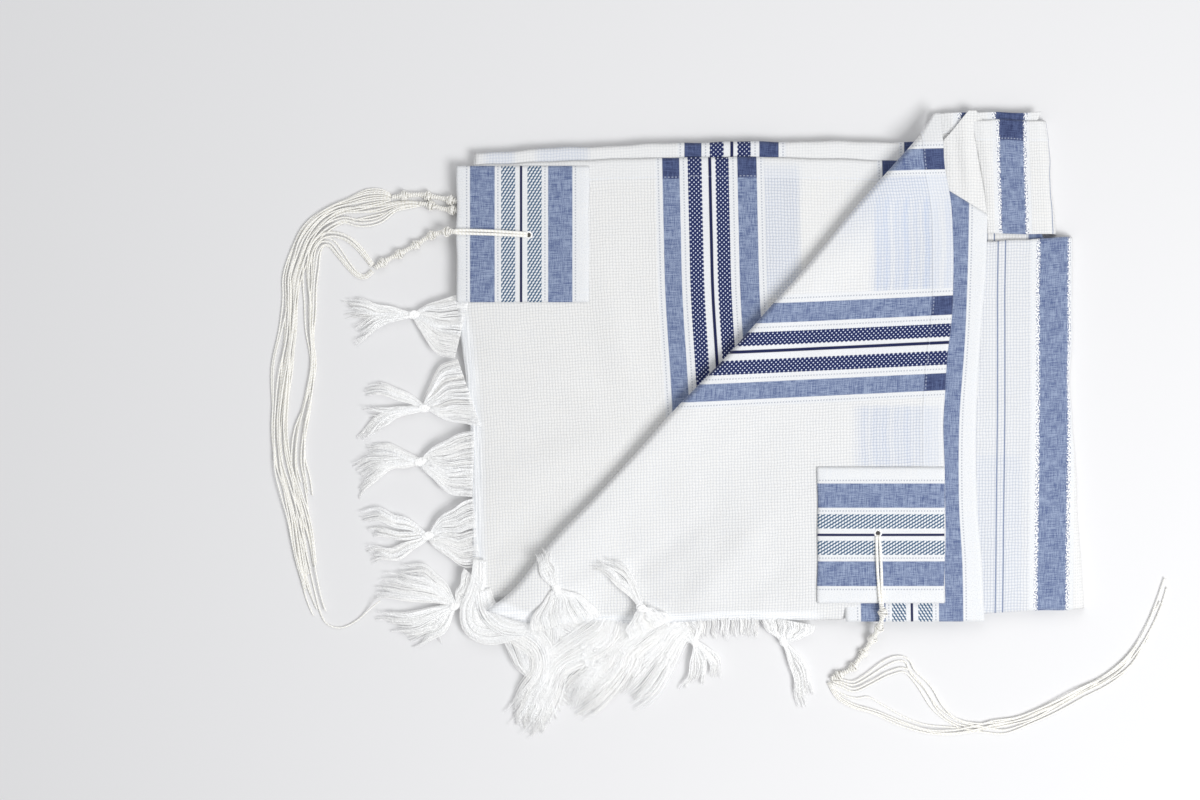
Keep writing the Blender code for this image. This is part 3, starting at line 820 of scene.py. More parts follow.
# ---------------------------------------------------------------------------------------------
# The folded cloth
# ---------------------------------------------------------------------------------------------

@dataclass(frozen=True)
class Crease:
    """A soft trough or ridge from one place to another: it fades at both ends."""

    x0: float
    y0: float
    x1: float
    y1: float
    half: float
    height: float

    def rise(self, x: np.ndarray, y: np.ndarray) -> np.ndarray:
        """Gives the height at each place: a bell across the line times a bell along it."""
        length = math.hypot(self.x1 - self.x0, self.y1 - self.y0)
        ux, uy = (self.x1 - self.x0) / length, (self.y1 - self.y0) / length
        along = (x - self.x0) * ux + (y - self.y0) * uy
        across = -(x - self.x0) * uy + (y - self.y0) * ux
        fade = ease(along, -0.25 * length, 0.3 * length) * ease(-along, -1.25 * length, -0.7 * length)
        return self.height * fade * np.exp(-(across / self.half) ** 2)


def creased(x: np.ndarray, y: np.ndarray, creases: tuple[Crease, ...]) -> np.ndarray:
    """Adds up the creases at each place."""
    total = np.zeros_like(x)
    for crease in creases:
        total = total + crease.rise(x, y)
    return total


def stack_lie(x: np.ndarray, y: np.ndarray) -> np.ndarray:
    """The slight common rise of the stack's layers: two crossed sine waves, never below zero."""
    return 0.7 * (0.5 + 0.25 * np.sin(math.pi * x / 210.0 + 0.6) + 0.25 * np.sin(math.pi * y / 170.0 + 1.1))


def flap_bed(x: np.ndarray, y: np.ndarray) -> np.ndarray:
    """The flap's own slight unevenness, which its patch follows."""
    return 0.35 * drift(x, y, 42.0, 71) + 0.35 * drift(x, y, 95.0, 72)


def panel_bed(x: np.ndarray, y: np.ndarray, seed: int) -> np.ndarray:
    """A laid panel's own slight unevenness, which what is sewn on it follows."""
    return 0.25 * drift(x, y, 45.0, seed)


FRONT_SEED = sum(map(ord, "front_panel")) + 2
CORE_TOP = 7.0
BACK_LEVEL = 7.9
FRONT_LEVEL = 9.4
TUCK_LEVEL = 9.9
BAND_LEVEL = 10.9
FLAP_LEVEL = 12.7
LAYER = 0.7


@dataclass
class LaidPanel:
    """A stretch of cloth that lies on the stack, drawn between a left and a right edge."""

    name: str
    rows: tuple[Row, ...]
    level: float
    starts: Row
    rise: float = 0.0
    row_count: int = 76
    column_count: int = 84
    edge_wave: float = 0.5
    drop_left: float = 0.0
    creases: tuple[Crease, ...] = ()
    ghosts: tuple[tuple[float, float, float, float, float], ...] = ()
    hem: bool = True
    fray: float = 0.0
    pleat_at: float = -1000.0
    pleat: float = 0.0
    slot: str = "gauze_white"

    def surface(self) -> Surface:
        """Works out the middle surface.

        Each row runs straight from its left to its right edge; the top edge bows out by `rise`,
        edges waver slightly, and the height is the stack's lie plus creases, less the droop at
        the free edges. A pleat that is out of sight at `pleat_at` takes up `pleat` of the cloth.

        Returns:
            The middle points, the places in the weave and what shows through.
        """
        places = np.linspace(0, 1, self.row_count)
        edges = smooth_keys(np.array(self.rows), places)
        share = np.linspace(0, 1, self.column_count)
        flat = edges[:, None, 0:2] * (1 - share[None, :, None]) + edges[:, None, 2:4] * share[None, :, None]
        x, y = flat[:, :, 0].copy(), flat[:, :, 1].copy()
        fade = (1 - places[:, None]) ** 3
        y += self.rise * fade * np.sin(math.pi * share)[None, :]
        seed = sum(map(ord, self.name))
        near_top = hump(places[:, None], 0.0, 0.05) * np.ones_like(x)
        near_left = hump(share[None, :], 0.0, 0.05) * np.ones_like(x)
        y += self.edge_wave * near_top * drift(x, y, 38.0, seed)
        x += self.edge_wave * near_left * drift(x, y, 34.0, seed + 1)
        start = smooth_keys(np.array(self.starts)[:, None], places)[:, 0]
        taken = self.pleat * (x < self.pleat_at)
        cloth = np.stack([x - start[:, None] + taken, self.from_selvedge(y)], axis=-1)
        z = self.level + stack_lie(x, y) + creased(x, y, self.creases)
        z += panel_bed(x, y, seed + 2)
        z -= self.drop_left * hump(share[None, :] * (x[:, -1:] - x[:, :1]), 0.0, 7.0)
        return np.dstack([x, y, z]), cloth, self.shown_through(x, y)

    def shown_through(self, x: np.ndarray, y: np.ndarray) -> np.ndarray:
        """How much of a darker layer shows at each place: the strongest of the soft-edged ghosts."""
        under = np.zeros_like(x)
        for x0, x1, y0, y1, amount in self.ghosts:
            box = span(x, x0, x1, 2) * span(y, y0, y1, 5)
            under = np.maximum(under, amount * box)
        return under

    def from_selvedge(self, y: np.ndarray) -> np.ndarray:
        """Distance from the hemmed selvedge, which is the panel's top edge; far off where it has no hem."""
        if not self.hem:
            return y[:1, :] - y + 40.0
        return y[:1, :] - y

    def build(self, material: bpy.types.Material) -> bpy.types.Object:
        """Makes the shell and puts it in place of its solid."""
        middle, cloth, under = self.surface()
        thickness = LAYER + 0.5 * ease(-cloth[:, :, 1], -HEM_DEPTH - 0.6, -HEM_DEPTH + 0.6)
        from_cut = middle[:, :, 0] - middle[:, :1, 0]
        frayed = (ease(-from_cut, -self.fray, 2.0 - self.fray) * ease(cloth[:, :, 1], 90.0, 120.0)
                  * (self.fray > 0))
        mesh = cloth_shell(self.name + "_cloth", middle, thickness, cloth, under, frayed)
        piece = add_piece(self.name + "_cloth", mesh, material, (self.name,))
        LOG.info("%s: %d faces", piece.name, len(mesh.polygons))
        return piece


@dataclass
class WrappedFold(LaidPanel):
    """A stretch that lies on the stack and rolls down over its right side to the surface."""

    radius: float = 8.4
    wrap_columns: int = 18
    weave_scale: float = 1.0

    def surface(self) -> Surface:
        """Carries each row on past its flat part, round a quarter turn and down.

        Returns:
            The middle points, the places in the weave and what shows through.
        """
        places = np.linspace(0, 1, self.row_count)
        edges = smooth_keys(np.array(self.rows), places)
        start = smooth_keys(np.array(self.starts)[:, None], places)
        left_x, left_y, right_x, right_y = (edges[:, k:k + 1] for k in range(4))
        centre = right_x - self.radius
        flat_share = np.linspace(0, 1, self.column_count)[None, :]
        turn = np.linspace(0, math.pi / 2, self.wrap_columns + 1)[None, 1:]
        seed = sum(map(ord, self.name))
        sway = 1.0 + 0.10 * drift(left_x * 0, right_y, 60.0, seed)
        flat_x = left_x + (centre - left_x) * flat_share
        bend_x = centre + self.radius * sway * np.sin(turn)
        x = np.concatenate([flat_x, bend_x], axis=1)
        y = left_y + (right_y - left_y) * (x - left_x) / (right_x - left_x)
        y = y + self.edge_wave * hump(places[:, None], 0.0, 0.05) * drift(x, y, 30.0, seed)
        y = y + self.edge_wave * hump(places[:, None], 1.0, 0.05) * drift(x, y, 30.0, seed + 5)
        top = self.level + stack_lie(np.minimum(x, centre), y)
        height = self.level - 0.45
        drop = np.concatenate([np.zeros_like(flat_x), height * (1 - np.cos(turn)) * np.ones_like(centre)],
                              axis=1)
        fullness = np.sin(np.clip(drop / height, 0, 1) * math.pi)
        z = top * (1 - drop / height) + 0.45 * (drop / height)
        z += creased(x, y, self.creases) * (1 - drop / height)
        z += 0.25 * drift(x, y, 40.0, seed + 2) * (1 - drop / height)
        z -= self.drop_left * hump(x - left_x, 0.0, 5.0)
        x = x + fullness * 0.5 * drift(x * 0, y, 24.0, seed + 3)
        arc = np.concatenate([flat_x, centre + self.radius * turn], axis=1)
        cloth = np.stack([(arc - start) * self.weave_scale, self.from_selvedge(y)], axis=-1)
        return np.dstack([x, y, z]), cloth, self.shown_through(x, y)


@dataclass
class TurnedFlap:
    """The top layer, turned back: a leg under the roll, the roll, and the flap to its hem."""

    name: str = "front_flap"
    rows: tuple[Row, ...] = (
        (225, 161.8, 165.6), (213, 153.4, 165.6), (204, 146.5, 166.4), (185, 129.5, 168.0),
        (154, 102.0, 174.0), (114, 69.0, 175.0), (84, 42.0, 174.5), (48, 10.0, 170.5), (10, -27.0, 168.0),
        (-18, -52.0, 168.0), (-55, -86.0, 168.5), (-88, -119.0, 169.0), (-111, -141.0, 169.0),
        (-129, -163.0, 169.0),
    )
    roll: float = 4.6
    settle: float = 36.0
    leg: float = 12.0
    sag_from: float = -190.0
    sag_to: float = 110.0
    sag_reach: float = 16.5
    fray: float = 8.0
    sag_drop: float = 6.0
    row_count: int = 130
    leg_columns: int = 5
    roll_columns: int = 15
    top_columns: int = 100
    creases: tuple[Crease, ...] = (
        Crease(-40, -60, 60, 40, 15, 1.6),
        Crease(-74, -120, 4, -62, 9, -1.6),
        Crease(-22, -138, 42, -66, 11, 1.7),
        Crease(56, 12, 120, 112, 13, 1.2),
        Crease(-114, -122, -58, -98, 6, 2.0),
        Crease(-92, -132, -38, -122, 7, -1.8),
        Crease(20, -128, 62, -96, 8, -1.0),
        Crease(110, 62, 165, 42, 9, 0.9),
    )

    def surface(self) -> Surface:
        """Works out the middle surface of leg, roll and flap.

        A row runs back under the roll, round a half circle whose radius shrinks towards the
        flap's narrow tip, and then out to the hem, settling as a bell curve of the distance
        from the roll. Near the cut end the cloth sags past the stack.

        Returns:
            The middle points, the places in the weave, and what shows through together with the painted shade
            of the flap's upper end.
        """
        places = np.linspace(0, 1, self.row_count)
        y_row, fold, edge = (smooth_keys(np.array(self.rows), places)[:, k:k + 1] for k in range(3))
        width = edge - fold
        radius = np.minimum(self.roll * (1 + 0.16 * drift(fold * 0, y_row, 90.0, 31)), width * 0.2)
        leg = np.minimum(self.leg, width * 0.34)
        turn = np.radians(np.linspace(-90, 90, self.roll_columns))[None, :]
        roll_x = fold + radius * (1 - np.cos(turn))
        roll_z = radius * (1 + np.sin(turn))
        share = (np.linspace(0, 1, self.top_columns + 1)[None, 1:]) ** 1.25
        top_x = fold + radius + (width - radius) * share
        settled = np.exp(-((top_x - fold - radius) / self.settle) ** 2)
        leg_share = np.linspace(1, 0, self.leg_columns + 1)[None, :-1]
        x = np.concatenate([fold + radius + leg * leg_share, roll_x, top_x], axis=1)
        z = np.concatenate([np.zeros((len(fold), self.leg_columns)), roll_z, 2 * radius * settled], axis=1)
        y = np.repeat(y_row, x.shape[1], axis=1)
        hang = ease(x, self.sag_from, self.sag_from + 70) * ease(-x, -self.sag_to, -self.sag_to + 16)
        hang *= 1 - 0.2 * ease(x, -60, 20)
        hang[:, :self.leg_columns] = hang[:, self.leg_columns:self.leg_columns + 1]
        nearness = np.clip((-70 - y) / 59, 0, 1) ** 2
        y = y - self.sag_reach * hang * nearness
        on_top = ease(x - fold, 6.0, 26.0)
        z += FLAP_LEVEL - 0.3 + stack_lie(x, y) + creased(x, y, self.creases) * on_top
        z += flap_bed(x, y) * on_top
        past = np.clip((-128 - y) / self.sag_reach, 0, 1)
        z -= self.sag_drop * past
        x = x + 0.8 * hump(edge - x, 0.0, 6.0) * drift(y * 0, y, 60.0, 73)
        bend = -0.0475 * (x - 65.0) - 0.7
        cloth = np.stack([y + 131.0 + bend, edge - x], axis=-1)
        return np.dstack([x, y, z]), cloth, self.show_through_and_tip_shade(x, y)

    def show_through_and_tip_shade(self, x: np.ndarray, y: np.ndarray) -> np.ndarray:
        """How much of the striped strip beneath shows, above and below the flap's own stripes, plus painted
        shade on the flap's upper end.
        """
        bend = x + 2.5 * drift(x, y, 70.0, 12)
        streak = 0.5 + 0.2 * np.sin(bend * 2 * math.pi / 17.0) + 0.3 * np.sin(bend * 2 * math.pi / 7.4 + 1.0)
        upper = ease(x, 112, 120) * ease(y, 94, 99) * ease(-y, -172, -160)
        # painted shade: the flap's upper end, sloping up towards the roll, is darkened as if in shade
        tip_shade = 0.42 * ease(y, 110, 185) * ease(-y, -206, -196)
        lower = ease(x, 100, 112) * ease(-x, -170, -162) * ease(y, -34, -28) * ease(-y, -16, -10)
        return np.maximum(tip_shade, upper * (0.17 + 0.5 * streak)) + lower * (0.18 + 0.28 * streak) + 0.05

    def build(self, material: bpy.types.Material) -> bpy.types.Object:
        """Makes the flap's shell in place of its solid."""
        middle, cloth, under = self.surface()
        hem = ease(-cloth[:, :, 1], -HEM_DEPTH - 0.6, -HEM_DEPTH + 0.6)
        from_cut = middle[:, :, 1] - middle[-1:, :, 1]
        frayed = ease(-from_cut, -self.fray, 2.0 - self.fray) * ease(middle[:, :, 2], 4.0, 6.0)
        frayed *= ease(-middle[:, :, 0], -80.0, -76.0)
        mesh = cloth_shell("front_flap_cloth", middle, LAYER + 0.5 * hem, cloth, under, frayed)
        piece = add_piece("front_flap_cloth", mesh, material, (self.name,))
        LOG.info("%s: %d faces", piece.name, len(mesh.polygons))
        return piece


@dataclass
class FoldedCore:
    """The hidden layers: one pile, whose sides are rounded folds laid one on another."""

    name: str = "folded_core"
    corners: tuple[Row, ...] = (
        (-166, -126, 16), (266.5, -132, 3.5), (258, 20, 60), (256, 130, 8), (242, 136, 5), (238, 217, 9),
        (192, 217, 7), (184, 197, 8), (-165, 188, 10),
    )
    layers: int = 5
    inset: float = 1.0
    hidden_inset: float = 3.2
    fold_steps: int = 7
    corner_points: int = 7
    outline_points: int = 440

    def outline(self) -> np.ndarray:
        """Rounds each corner with an arc and spaces points evenly along the whole outline.

        Returns:
            (points, 2) places, counterclockwise.
        """
        places = []
        table = np.array(self.corners, dtype=float)
        for index, (x, y, radius) in enumerate(table):
            here = np.array([x, y])
            before = table[index - 1, :2] - here
            after = table[(index + 1) % len(table), :2] - here
            before /= np.linalg.norm(before)
            after /= np.linalg.norm(after)
            half = math.acos(float(np.clip(before @ after, -1, 1))) / 2
            middle = (before + after) / np.linalg.norm(before + after)
            centre = here + middle * radius / math.sin(half)
            start = here + before * radius / math.tan(half) - centre
            end = here + after * radius / math.tan(half) - centre
            share = np.linspace(0, 1, self.corner_points)[:, None]
            arm = start * (1 - share) + end * share
            places.append(centre + arm / np.linalg.norm(arm, axis=1, keepdims=True) * radius)
        ring = np.concatenate(places)
        closed = np.vstack([ring, ring[:1]])
        walked = np.concatenate([[0], np.cumsum(np.linalg.norm(np.diff(closed, axis=0), axis=1))])
        marks = np.linspace(0, walked[-1], self.outline_points, endpoint=False)
        return np.column_stack([np.interp(marks, walked, closed[:, k]) for k in range(2)])

    def build(self, material: bpy.types.Material) -> bpy.types.Object:
        """Makes the pile: at each height the outline draws in by a half circle for each layer.

        Args:
            material: the cloth's finish.

        Returns:
            The piece that stands for the core's solid.
        """
        ring = self.outline()
        ahead = np.roll(ring, -1, axis=0) - np.roll(ring, 1, axis=0)
        ahead /= np.linalg.norm(ahead, axis=1, keepdims=True)
        inward = np.column_stack([-ahead[:, 1], ahead[:, 0]])
        depth = CORE_TOP / self.layers
        rings = [np.column_stack([ring + inward * self.hidden_inset, np.full(len(ring), 0.0)])]
        for layer in range(self.layers):
            wander = self.inset + 0.9 * drift(ring[:, 0], ring[:, 1], 120.0, 40 + layer)
            for step in range(self.fold_steps):
                angle = math.pi * (step / (self.fold_steps - 1) - 0.5)
                inset = wander + depth * 0.5 * (1 - math.cos(angle)) * 1.5
                height = depth * (layer + 0.5 + 0.5 * math.sin(angle))
                level = np.full(len(ring), height)
                rings.append(np.column_stack([ring + inward * np.maximum(inset, 0.1)[:, None], level]))
        rings.append(np.column_stack([ring + inward * self.hidden_inset, np.full(len(ring), CORE_TOP)]))
        points = np.concatenate(rings)
        count = len(ring)
        first = np.arange(len(rings) - 1)[:, None] * count
        low = first + np.arange(count)[None, :]
        next_low = first + np.roll(np.arange(count), -1)[None, :]
        sides = np.stack([low, next_low, next_low + count, low + count], axis=-1).reshape(-1, 4)
        bottom = np.arange(count)[::-1][None, :]
        top = (np.arange(count) + (len(rings) - 1) * count)[None, :]
        mesh = mesh_from_arrays("folded_core_cloth", points, [sides, bottom, top])
        across = points[:, 0] + 184.0
        from_edge = 60.0 + points[:, 2] * 2
        set_uv(mesh, "cloth", np.column_stack([across, from_edge]) * MM)
        set_value(mesh, "under", np.zeros(len(points)))
        piece = add_piece("folded_core_cloth", mesh, material, (self.name,))
        LOG.info("%s: %d faces", piece.name, len(mesh.polygons))
        return piece


@dataclass
class CornerPatch:
    """A square of the striped strip, sewn on a corner, with an eyelet for the tzitzit."""

    name: str
    x: float
    y: float
    width: float
    length: float
    level: float
    line_place: float
    hole_x: float
    hole_y: float
    turned: bool = False
    lift: float = 1.1
    eyelet_reach: float = 2.3
    eyelet_stitches: int = 15
    eyelet_thread: float = 0.38
    dish_points: int = 24

    def build(self, finishes: Finishes) -> list[bpy.types.Object]:
        """Makes the patch, puffed between its stitched edges, and its eyelet.

        Args:
            finishes: every finish.

        Returns:
            The patch and the pieces of its eyelet.
        """
        share = np.linspace(0, 1, 50)
        across, down = np.meshgrid(share, share)
        seed = sum(map(ord, self.name))
        x = self.x + self.width * across
        y = self.y + self.length * (1 - down)
        rim = np.minimum(np.minimum(across, 1 - across) * self.width,
                         np.minimum(down, 1 - down) * self.length)
        x = x + 0.5 * drift(x, y, 40.0, seed) * (rim < 4)
        puff = 0.5 * ease(rim, 0.0, 5.0) + 0.25 * drift(x, y, 30.0, seed + 1) * ease(rim, 0, 8)
        bed = flap_bed(x, y) if self.turned else panel_bed(x, y, FRONT_SEED)
        z = self.level + self.lift + stack_lie(x, y) + bed + puff
        if self.turned:
            cloth = np.stack([y - self.line_place, x - self.x - 5.0], axis=-1)
        else:
            cloth = np.stack([x - self.line_place, y - self.y - 5.0], axis=-1)
        mesh = cloth_shell(self.name + "_cloth", np.dstack([x, y, z]), 0.7, cloth)
        patch = add_piece(self.name + "_cloth", mesh, finishes.strip, (self.name,))
        nearest = np.argmin((x - self.hole_x) ** 2 + (y - self.hole_y) ** 2)
        top = float(z[np.unravel_index(nearest, x.shape)]) + 0.45
        return [patch, self.eyelet_ring(top, finishes), self.eyelet_shade(top, finishes)]

    def eyelet_ring(self, top: float, finishes: Finishes) -> bpy.types.Object:
        """A ring of overcast stitches: a circle whose radius swings in and out at each stitch."""
        turn = np.linspace(0, 2 * math.pi, 121)
        reach = self.eyelet_reach + 0.45 * np.cos(turn * self.eyelet_stitches)
        line = np.stack([self.hole_x + reach * np.cos(turn), self.hole_y + reach * np.sin(turn),
                         top + 0.25 * np.sin(turn * self.eyelet_stitches)], axis=-1)[None]
        tubes = thread_tubes(line, np.full((1, len(turn)), self.eyelet_thread), 5)
        return add_yarn(self.name + "_eyelet", tubes, finishes.fringe)

    def eyelet_shade(self, top: float, finishes: Finishes) -> bpy.types.Object:
        """Painted shade in the hole: a dark shallow dish whose radius grows from its middle."""
        count = self.dish_points
        around = np.arange(count)
        turn = 2 * math.pi * around / count
        rings = []
        for reach, height in ((0.2, 0.0), (1.0, 0.05), (1.9, 0.1)):
            rings.append(np.column_stack([self.hole_x + reach * np.cos(turn),
                                          self.hole_y + reach * np.sin(turn), np.full(count, top + height)]))
        depth = np.array([0, 0, 0.4])
        points = np.concatenate(rings + [rings[-1] - depth, rings[0] - depth])
        first = np.arange(len(rings) + 1)[:, None] * count
        low = first + around[None, :]
        ahead = first + np.roll(around, -1)[None, :]
        sides = np.stack([low, low + count, ahead + count, ahead], axis=-1).reshape(-1, 4)
        caps = np.stack([around, (around + (len(rings) + 1) * count)[::-1]])
        mesh = mesh_from_arrays(self.name + "_hole", points, [sides, caps])
        set_uv(mesh, "yarn", np.zeros((len(points), 2)))
        return add_piece(self.name + "_hole", mesh, finishes.hole)


@dataclass
class NeckBand(LaidPanel):
    """The striped strip along the neck, its upper end folded to a mitre."""

    slot: str = "striped_weave"

    def from_selvedge(self, y: np.ndarray) -> np.ndarray:
        """Distance along the strip."""
        return -y


# ---------------------------------------------------------------------------------------------
# Fringe
# ---------------------------------------------------------------------------------------------

THREAD_SIDES = 3
KNOT_SIDES = 4


@dataclass(frozen=True)
class Lock:
    """A lock of loose threads from a root to a tip.

    Its half widths and heights run evenly from one end to the other; bow bends it to the left
    of its way, lift raises its middle, wave is how far its threads swing, and flare opens its
    outer threads outwards in the middle.
    """

    x0: float
    y0: float
    z0: float
    half0: float
    x1: float
    y1: float
    z1: float
    half1: float
    bow: float = 0.0
    lift: float = 0.0
    wave: float = 0.8
    threads: int = 80
    flare: float = 0.0


@dataclass(frozen=True)
class Flow:
    """Loose threads side by side along a curved route, whose rows hold x, y, z and half width."""

    rows: tuple[Row, ...]
    threads: int = 80
    wave: float = 0.5
    steps: int = 30
    ragged: float = 0.3


def clumps(count: int, size: float, rng: np.random.Generator) -> np.ndarray:
    """Gives each thread a value of its own clump, eased from one clump to the next.

    Args:
        count: of threads.
        size: threads in a clump.
        rng: the random source.

    Returns:
        Values between about -1 and 1.
    """
    keys = rng.uniform(-1, 1, int(count / size) + 3)
    number = np.arange(count) / size
    first = number.astype(int)
    part = ease(number - first, 0.0, 1.0)
    return keys[first] * (1 - part) + keys[first + 1] * part + rng.normal(0, 0.18, count)


@dataclass(frozen=True)
class Knot:
    """A tied knot: its middle, its size, and the way its threads run through it, in degrees."""

    x: float
    y: float
    z: float
    way: float
    radius: float = 3.1


@dataclass
class Tassel:
    """One tassel: locks from the cloth's cut end into a knot, and locks out of it."""

    name: str
    locks: tuple[Lock, ...]
    knot: Knot | None = None
    replaced: tuple[str, ...] = ()
    flows: tuple[Flow, ...] = ()
    steps: int = 18
    radius: float = 0.26
    knot_thread: float = 0.4
    wisps: int = 5

    def flow_lines(self, flow: Flow, rng: np.random.Generator) -> tuple[np.ndarray, np.ndarray]:
        """Works out a flow's threads.

        Each keeps its share of the width, swings slightly, strays with its clump towards the
        end, and stops short by a share of its own.

        Args:
            flow: the flow.
            rng: the tassel's own random source.

        Returns:
            (threads, steps, 3) lines, and how much painted shade each thread gets for lying deep, 0 to 1.
        """
        route = route_line(flow.rows, flow.steps)
        heading = np.gradient(route[:, :2], axis=0)
        heading /= np.linalg.norm(heading, axis=1, keepdims=True)
        side = np.column_stack([-heading[:, 1], heading[:, 0]])
        share = np.linspace(-1, 1, flow.threads) + rng.normal(0, 0.10, flow.threads)
        level = clumps(flow.threads, 6.0, rng)
        sway = clumps(flow.threads, 9.0, rng)[:, None]
        ends = 1 - flow.ragged * (0.5 * rng.random(flow.threads) ** 1.5 + 0.25 * (1 + sway[:, 0]))
        t = np.linspace(0, 1, flow.steps)[None, :] * np.clip(ends, 0.4, 1)[:, None]
        place = t * (flow.steps - 1)
        first = np.minimum(place.astype(int), flow.steps - 2)
        part = (place - first)[:, :, None]
        centre = route[first] * (1 - part) + route[first + 1] * part
        across_way = side[first] * (1 - part) + side[first + 1] * part
        phase = 0.8 * share[:, None] + rng.normal(0, 0.3, (flow.threads, 1)) + rng.uniform(0, 6.3)
        swing = flow.wave * np.sin(2 * math.pi * 1.3 * t + phase) + 8.0 * flow.ragged * sway * t**3
        across = share[:, None] * centre[:, :, 3] + swing
        line = centre[:, :, :3].copy()
        line[:, :, :2] += across_way * across[:, :, None]
        line[:, :, 2] += 0.8 * level[:, None] + 0.7 * np.cos(np.clip(share, -1, 1) * math.pi / 2)[:, None]
        line[:, :, 2] = np.maximum(line[:, :, 2], self.radius + 0.1)
        # painted shade: threads of lower clumps get more of it
        return line, np.clip(0.45 - 0.55 * level, 0, 1)

    def lock_lines(self, lock: Lock, rng: np.random.Generator) -> tuple[np.ndarray, np.ndarray]:
        """Works out a lock's threads.

        A thread keeps its share of the width, drawn late towards the middle of its own wisp. It
        swings as a sine of the way along, in step with its neighbours, and ends a little short.

        Args:
            lock: the lock.
            rng: the tassel's own random source.

        Returns:
            (threads, steps, 3) lines, and how much painted shade each thread gets for lying deep, 0 to 1.
        """
        count = lock.threads
        share = np.linspace(-1, 1, count) + rng.normal(0, 0.04, count)
        tail = lock.half1 >= lock.half0
        group = np.clip(np.floor((share + 1) / 2 * self.wisps), 0, self.wisps - 1).astype(int)
        short = rng.uniform(0.0, 0.22, self.wisps)[group] if tail else 0.0
        ends = 1 - short - (0.34 if tail else 0.03) * rng.random(count) ** 1.6
        t = np.linspace(0, 1, self.steps)[None, :] * np.reshape(ends, (-1, 1))
        wisp = (group + 0.5) / self.wisps * 2 - 1 + rng.uniform(-0.12, 0.12, self.wisps)[group]
        late = ease(t, 0.3, 1.0) * (0.35 if tail else 0.0)
        drawn = share[:, None] * (1 - late) + wisp[:, None] * late
        half = lock.half0 + (lock.half1 - lock.half0) * t + 0.3 * min(lock.half0, 2.0) * np.sin(math.pi * t)
        if tail:
            half = lock.half0 + (lock.half1 - lock.half0) * np.sin(0.5 * math.pi * t) ** 0.9
        start = np.array([lock.x0, lock.y0, lock.z0])
        step = np.array([lock.x1, lock.y1, lock.z1]) - start
        side = np.array([-step[1], step[0], 0.0])
        side /= np.linalg.norm(side)
        swell = np.sin(math.pi * np.clip(t, 0, 1))
        phase = rng.uniform(0, 6.3) + 0.5 * share[:, None] + rng.normal(0, 0.25, (count, 1))
        turns = rng.uniform(1.3, 2.3)
        swing = lock.wave * (0.25 + t) * np.sin(2 * math.pi * turns * t + phase)
        stray = (rng.normal(0, 0.35, (count, 1)) * t
                 + rng.normal(0, 1.6, (count, 1)) * t**3 * (rng.random((count, 1)) < 0.12))
        flare = lock.flare * share[:, None] * swell
        across = half * drawn + lock.bow * swell + flare + swing + stray
        level = clumps(count, 5.0, rng)
        depth = level[:, None] * (0.4 + 1.2 * np.sin(math.pi * (0.12 + 0.7 * t)))
        across = across + 0.7 * clumps(count, 5.0, rng)[:, None] * swell
        line = start + step * t[:, :, None] + side * across[:, :, None]
        line[:, :, 2] += lock.lift * swell + depth + 0.4 * np.sin(2 * math.pi * turns * t * 0.8 + phase)
        line[:, :, 2] = np.maximum(line[:, :, 2], self.radius + 0.1 + 0.3 * np.abs(depth))
        # painted shade: threads of lower clumps get more of it
        return line, np.clip(0.4 - 0.55 * level, 0, 1)

    def knot_lines(self, knot: Knot, rng: np.random.Generator) -> np.ndarray:
        """Turns of thread round the knot: leaning circles beside one another along its way."""
        count = 22
        turn = np.linspace(0, 2.1 * math.pi, 30)[None, :] + rng.uniform(0, 6.3, (count, 1))
        shift = np.linspace(-0.75, 0.75, count)[:, None] * knot.radius
        reach = (knot.radius * np.sqrt(np.clip(1 - (shift / knot.radius) ** 2 * 0.9, 0.2, 1))
                 * rng.uniform(0.8, 1.0, (count, 1)))
        lean = knot.radius * 0.55 * np.sin(turn + rng.choice([0.4, 2.4], (count, 1)))
        way = np.array([math.cos(math.radians(knot.way)), math.sin(math.radians(knot.way)), 0.0])
        side = np.array([-way[1], way[0], 0.0])
        up = np.array([0.0, 0.0, 1.0])
        line = (np.array([knot.x, knot.y, knot.z]) + way * (shift + lean)[:, :, None]
                + side * (reach * np.cos(turn))[:, :, None] + up * (reach * 0.85 * np.sin(turn))[:, :, None])
        line[:, :, 2] = np.maximum(line[:, :, 2], 0.5)
        return line

    def build(self, material: bpy.types.Material) -> bpy.types.Object:
        """Makes the tassel as one joined mesh of fine tubes."""
        rng = np.random.default_rng(sum(map(ord, self.name)))
        blocks, deep_shades = [], []
        drawn = [self.lock_lines(lock, rng) for lock in self.locks]
        drawn += [self.flow_lines(flow, rng) for flow in self.flows]
        for line, deep in drawn:
            steps = line.shape[1]
            taper = 1 - 0.45 * ease(np.linspace(0, 1, steps), 0.7, 1.0)
            blocks.append(thread_tubes(line, self.radius * np.ones(line.shape[:2]) * taper[None, :],
                                       THREAD_SIDES))
            deep_shades.append(np.repeat(deep, steps * THREAD_SIDES))
        if self.knot is not None:
            turns = self.knot_lines(self.knot, rng)
            blocks.append(thread_tubes(turns, np.full(turns.shape[:2], self.knot_thread), KNOT_SIDES))
            # painted shade: every turn of the knot gets a fixed share of it
            deep_shades.append(np.full(turns.shape[0] * turns.shape[1] * KNOT_SIDES, 0.3))
        return add_yarn(self.name, join_blocks(blocks), material, self.replaced,
                        np.concatenate(deep_shades))


def join_blocks(blocks: list[Tubes]) -> Tubes:
    """Joins meshes given as points, faces and places into one."""
    points, faces, places, base = [], [], [], 0
    for block_points, block_faces, block_place in blocks:
        points.append(block_points)
        faces.extend(part + base for part in block_faces)
        places.append(block_place)
        base += len(block_points)
    return np.concatenate(points), faces, np.concatenate(places)


